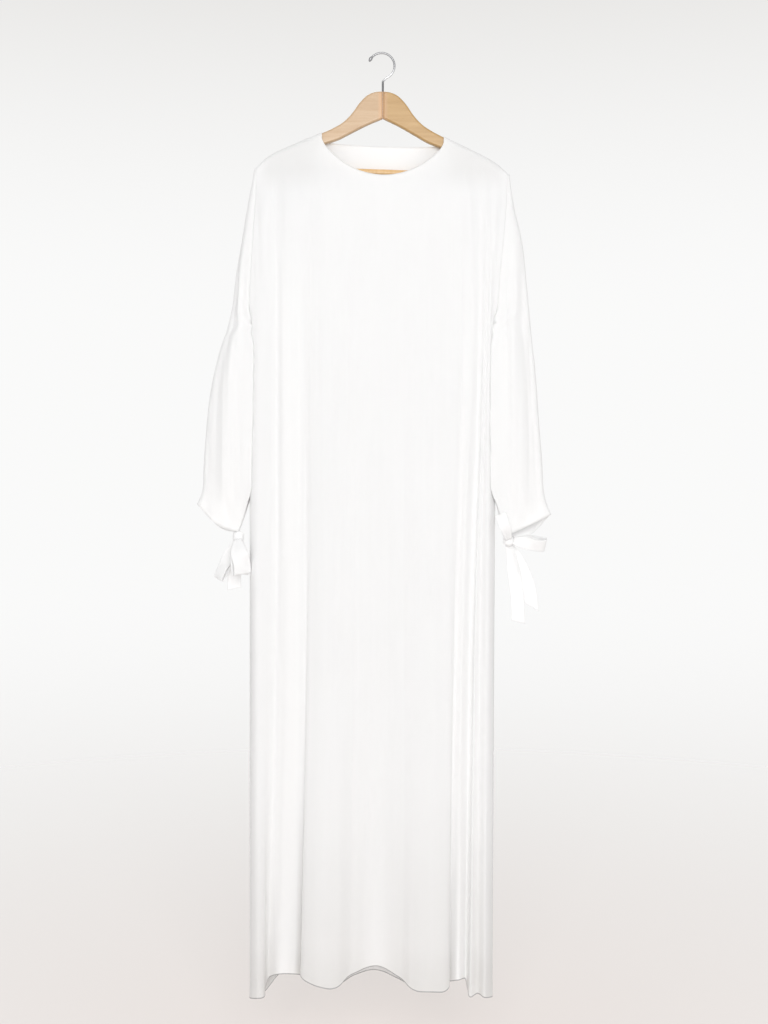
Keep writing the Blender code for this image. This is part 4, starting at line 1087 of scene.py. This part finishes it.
def wood_material(name, light, dark, turn, middle=None):
    """Varnished beech: long grain along the arm, short dark flecks, a clear coat and a pinker middle."""
    nodes = Nodes(bpy.data.materials.new(name))
    grain = nodes.noise((9.0, 120.0, 190.0), 4.0, 0.6, 0.4, turn)
    rings = nodes.noise((3.0, 30.0, 34.0), 2.0, 0.5, 1.5, turn)
    flecks = nodes.noise((120.0, 700.0, 900.0), 1.0, turn=turn)
    figure = nodes.maths("ADD", nodes.maths("MULTIPLY", grain, 0.6), nodes.maths("MULTIPLY", rings, 0.4))
    share = nodes.ramp(figure, 0.35, 0.65)
    base = nodes.mix(share, light, dark)
    base = nodes.mix(nodes.maths("MULTIPLY", nodes.ramp(flecks, 0.66, 0.74), 0.35), base, dimmed(dark, 0.72))
    if middle:
        reach = nodes.maths("ABSOLUTE", nodes.axis("X"))
        edge = ((MIDDLE_STRIP + MIDDLE_STRIP_BLUR) * MM, (MIDDLE_STRIP - MIDDLE_STRIP_BLUR) * MM)
        base = nodes.mix(nodes.ramp(reach, *edge), base, middle)
    return nodes.finish("Principled BSDF", {
        "Base Color": base, "Roughness": nodes.scaled_up(share, 0.12, 0.36),
        "Normal": nodes.bump(grain, 0.0002, 0.25), "Coat Weight": 0.35, "Coat Roughness": 0.22,
    })


def steel_material():
    """Chromed wire with a faint drawn finish, and painted reflections: light on the lower curve and dark on
    the stem.
    """
    nodes = Nodes(bpy.data.materials.new("hook_chrome"))
    height = nodes.axis("Z")
    base = nodes.mix(nodes.noise((60.0, 60.0, 60.0), 1.0), (0.34, 0.34, 0.35), (0.56, 0.56, 0.57))
    # painted reflections: a light band on the lower curve and a dark one on the stem
    base = nodes.mix(nodes.ramp(height, -0.022, -0.036), base, (0.78, 0.78, 0.79))
    base = nodes.mix(nodes.ramp(height, -0.045, -0.051), base, (0.21, 0.21, 0.215))
    return nodes.finish("Principled BSDF", {"Base Color": base, "Metallic": 1.0, "Roughness": 0.42})


def floor_material():
    """A pale floor with painted shade, darker and warmer near the object, that fades into the backdrop."""
    nodes = Nodes(bpy.data.materials.new("pale_floor"))
    distance = nodes.add("ShaderNodeVectorMath", {0: nodes.place}, operation="LENGTH").outputs["Value"]
    # painted shade: darker and warmer near the object
    base = nodes.mix(nodes.ramp(distance, 0.0, 4.5), (0.88, 0.81, 0.775), (0.93, 0.90, 0.87))
    nodes.finish("Principled BSDF", {"Base Color": base, "Roughness": 0.9, "Specular IOR Level": 0.1})
    fade = nodes.add("ShaderNodeMixShader", {
        0: nodes.maths("SUBTRACT", 1.0, nodes.maths("POWER", FLOOR_FADE, distance)),
        1: nodes.tree.nodes["Principled BSDF"].outputs[0],
        2: nodes.add("ShaderNodeBsdfTransparent").outputs[0]})
    return nodes.finish("Material Output", {"Surface": fade.outputs[0]})


def add_floor():
    disc = bmesh.new()
    bmesh.ops.create_circle(disc, cap_ends=True, segments=96, radius=60.0)
    mesh = mesh_from("floor", disc)
    mesh.materials.append(floor_material())
    floor = bpy.data.objects.new("floor", mesh)
    scene.collection.objects.link(floor)
    floor.location = (0.0, 0.0, FLOOR_Z)


def add_light(name, kind, place, aim, watts, **settings):
    data = bpy.data.lights.new(name, kind)
    data.energy = watts
    for key, value in settings.items():
        setattr(data, key, value)
    light = bpy.data.objects.new(name, data)
    scene.collection.objects.link(light)
    light.location = place
    light.rotation_euler = (Vector(aim) - Vector(place)).to_track_quat("-Z", "Y").to_euler()


def add_world():
    """Even studio light, and a backdrop that only the camera sees, which darkens toward the top."""
    world = bpy.data.worlds.new("studio")
    nodes = Nodes(world, "Generated")
    light = nodes.feed(nodes.tree.nodes["Background"],
                       {"Color": (1.0, 1.0, 1.0, 1.0), "Strength": WORLD_LIGHT})
    steepness = nodes.maths("POWER", nodes.ramp(nodes.axis("Z"), *BACKDROP_GLOW), 2.0)
    seen = nodes.add("ShaderNodeBackground", {"Color": nodes.mix(steepness, BACKDROP_MIDDLE, BACKDROP_EDGE)})
    camera_ray = nodes.add("ShaderNodeLightPath").outputs["Is Camera Ray"]
    both = nodes.add("ShaderNodeMixShader", {0: camera_ray, 1: light.outputs[0], 2: seen.outputs[0]})
    scene.world = nodes.finish("World Output", {"Surface": both.outputs[0]})


def add_camera():
    data = bpy.data.cameras.new("camera")
    data.sensor_fit = "AUTO"
    data.sensor_width = 36.0
    data.lens = data.sensor_width * CAMERA_FOCAL / PHOTO_HEIGHT
    data.clip_start = 0.05
    data.clip_end = 200.0
    camera = bpy.data.objects.new("camera", data)
    scene.collection.objects.link(camera)
    camera.location = CAMERA_PLACE
    camera.rotation_euler = (math.pi / 2, 0.0, 0.0)
    scene.camera = camera


for old in list(bpy.data.objects):
    bpy.data.objects.remove(old)
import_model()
scene = bpy.context.scene
OBJECT = bpy.data.collections.new("abaya_on_hanger")
scene.collection.children.link(OBJECT)
scene.view_settings.view_transform = "Standard"
scene.view_settings.look = "None"
scene.view_settings.exposure = 0.0

add_camera()
add_world()
add_floor()
add_light("key", "AREA", (0.15, -3.3, -0.12), (0.0, 0.0, -0.8), 60.5, shape="RECTANGLE", size=2.0, size_y=2.0)
add_light("back_fill", "SUN", (0.0, 0.0, 0.0), (0.25, -1.0, -0.45), 0.9, angle=math.radians(50))

cloth = cloth_material()
panels = {}
for name, width, *values in (
    ("front_cloth", 0.72, "front_panel", FRONT_FOLDS, -1, FRONT_NECK, FRONT_CREASES, 5, 3.6, 5.0),
    ("back_cloth", 0.56, "back_panel", BACK_FOLDS, 1, BACK_NECK, BACK_CREASES, 9, 4.6, 6.0),
):
    piece, panels[name] = add_panel(name, *values, cloth)
for side in ("left", "right"):
    piece, rows = add_sleeve("sleeve_" + side + "_cloth", side, "sleeve_" + side, panels, cloth)
    add_knot(side, cloth)
for loop in LOOPS:
    add_loop(*loop, cloth)
for tail in TAILS:
    add_tail(*tail, cloth)

# The arms' two pieces of wood differ in colour; the left is also painted lighter and the right darker, as
# painted shade for their different slants to the light.
add_arm("left", wood_material("beech_left", (0.64, 0.46, 0.29), (0.53, 0.35, 0.20), 0.42,
                              (0.66, 0.415, 0.235)))
add_arm("right", wood_material("beech_right", (0.57, 0.365, 0.155), (0.46, 0.275, 0.105), -0.42,
                               (0.57, 0.345, 0.175)))
add_bar(wood_material("beech_bar", (0.86, 0.58, 0.29), (0.76, 0.47, 0.21), math.pi / 2))
add_hook(steel_material())
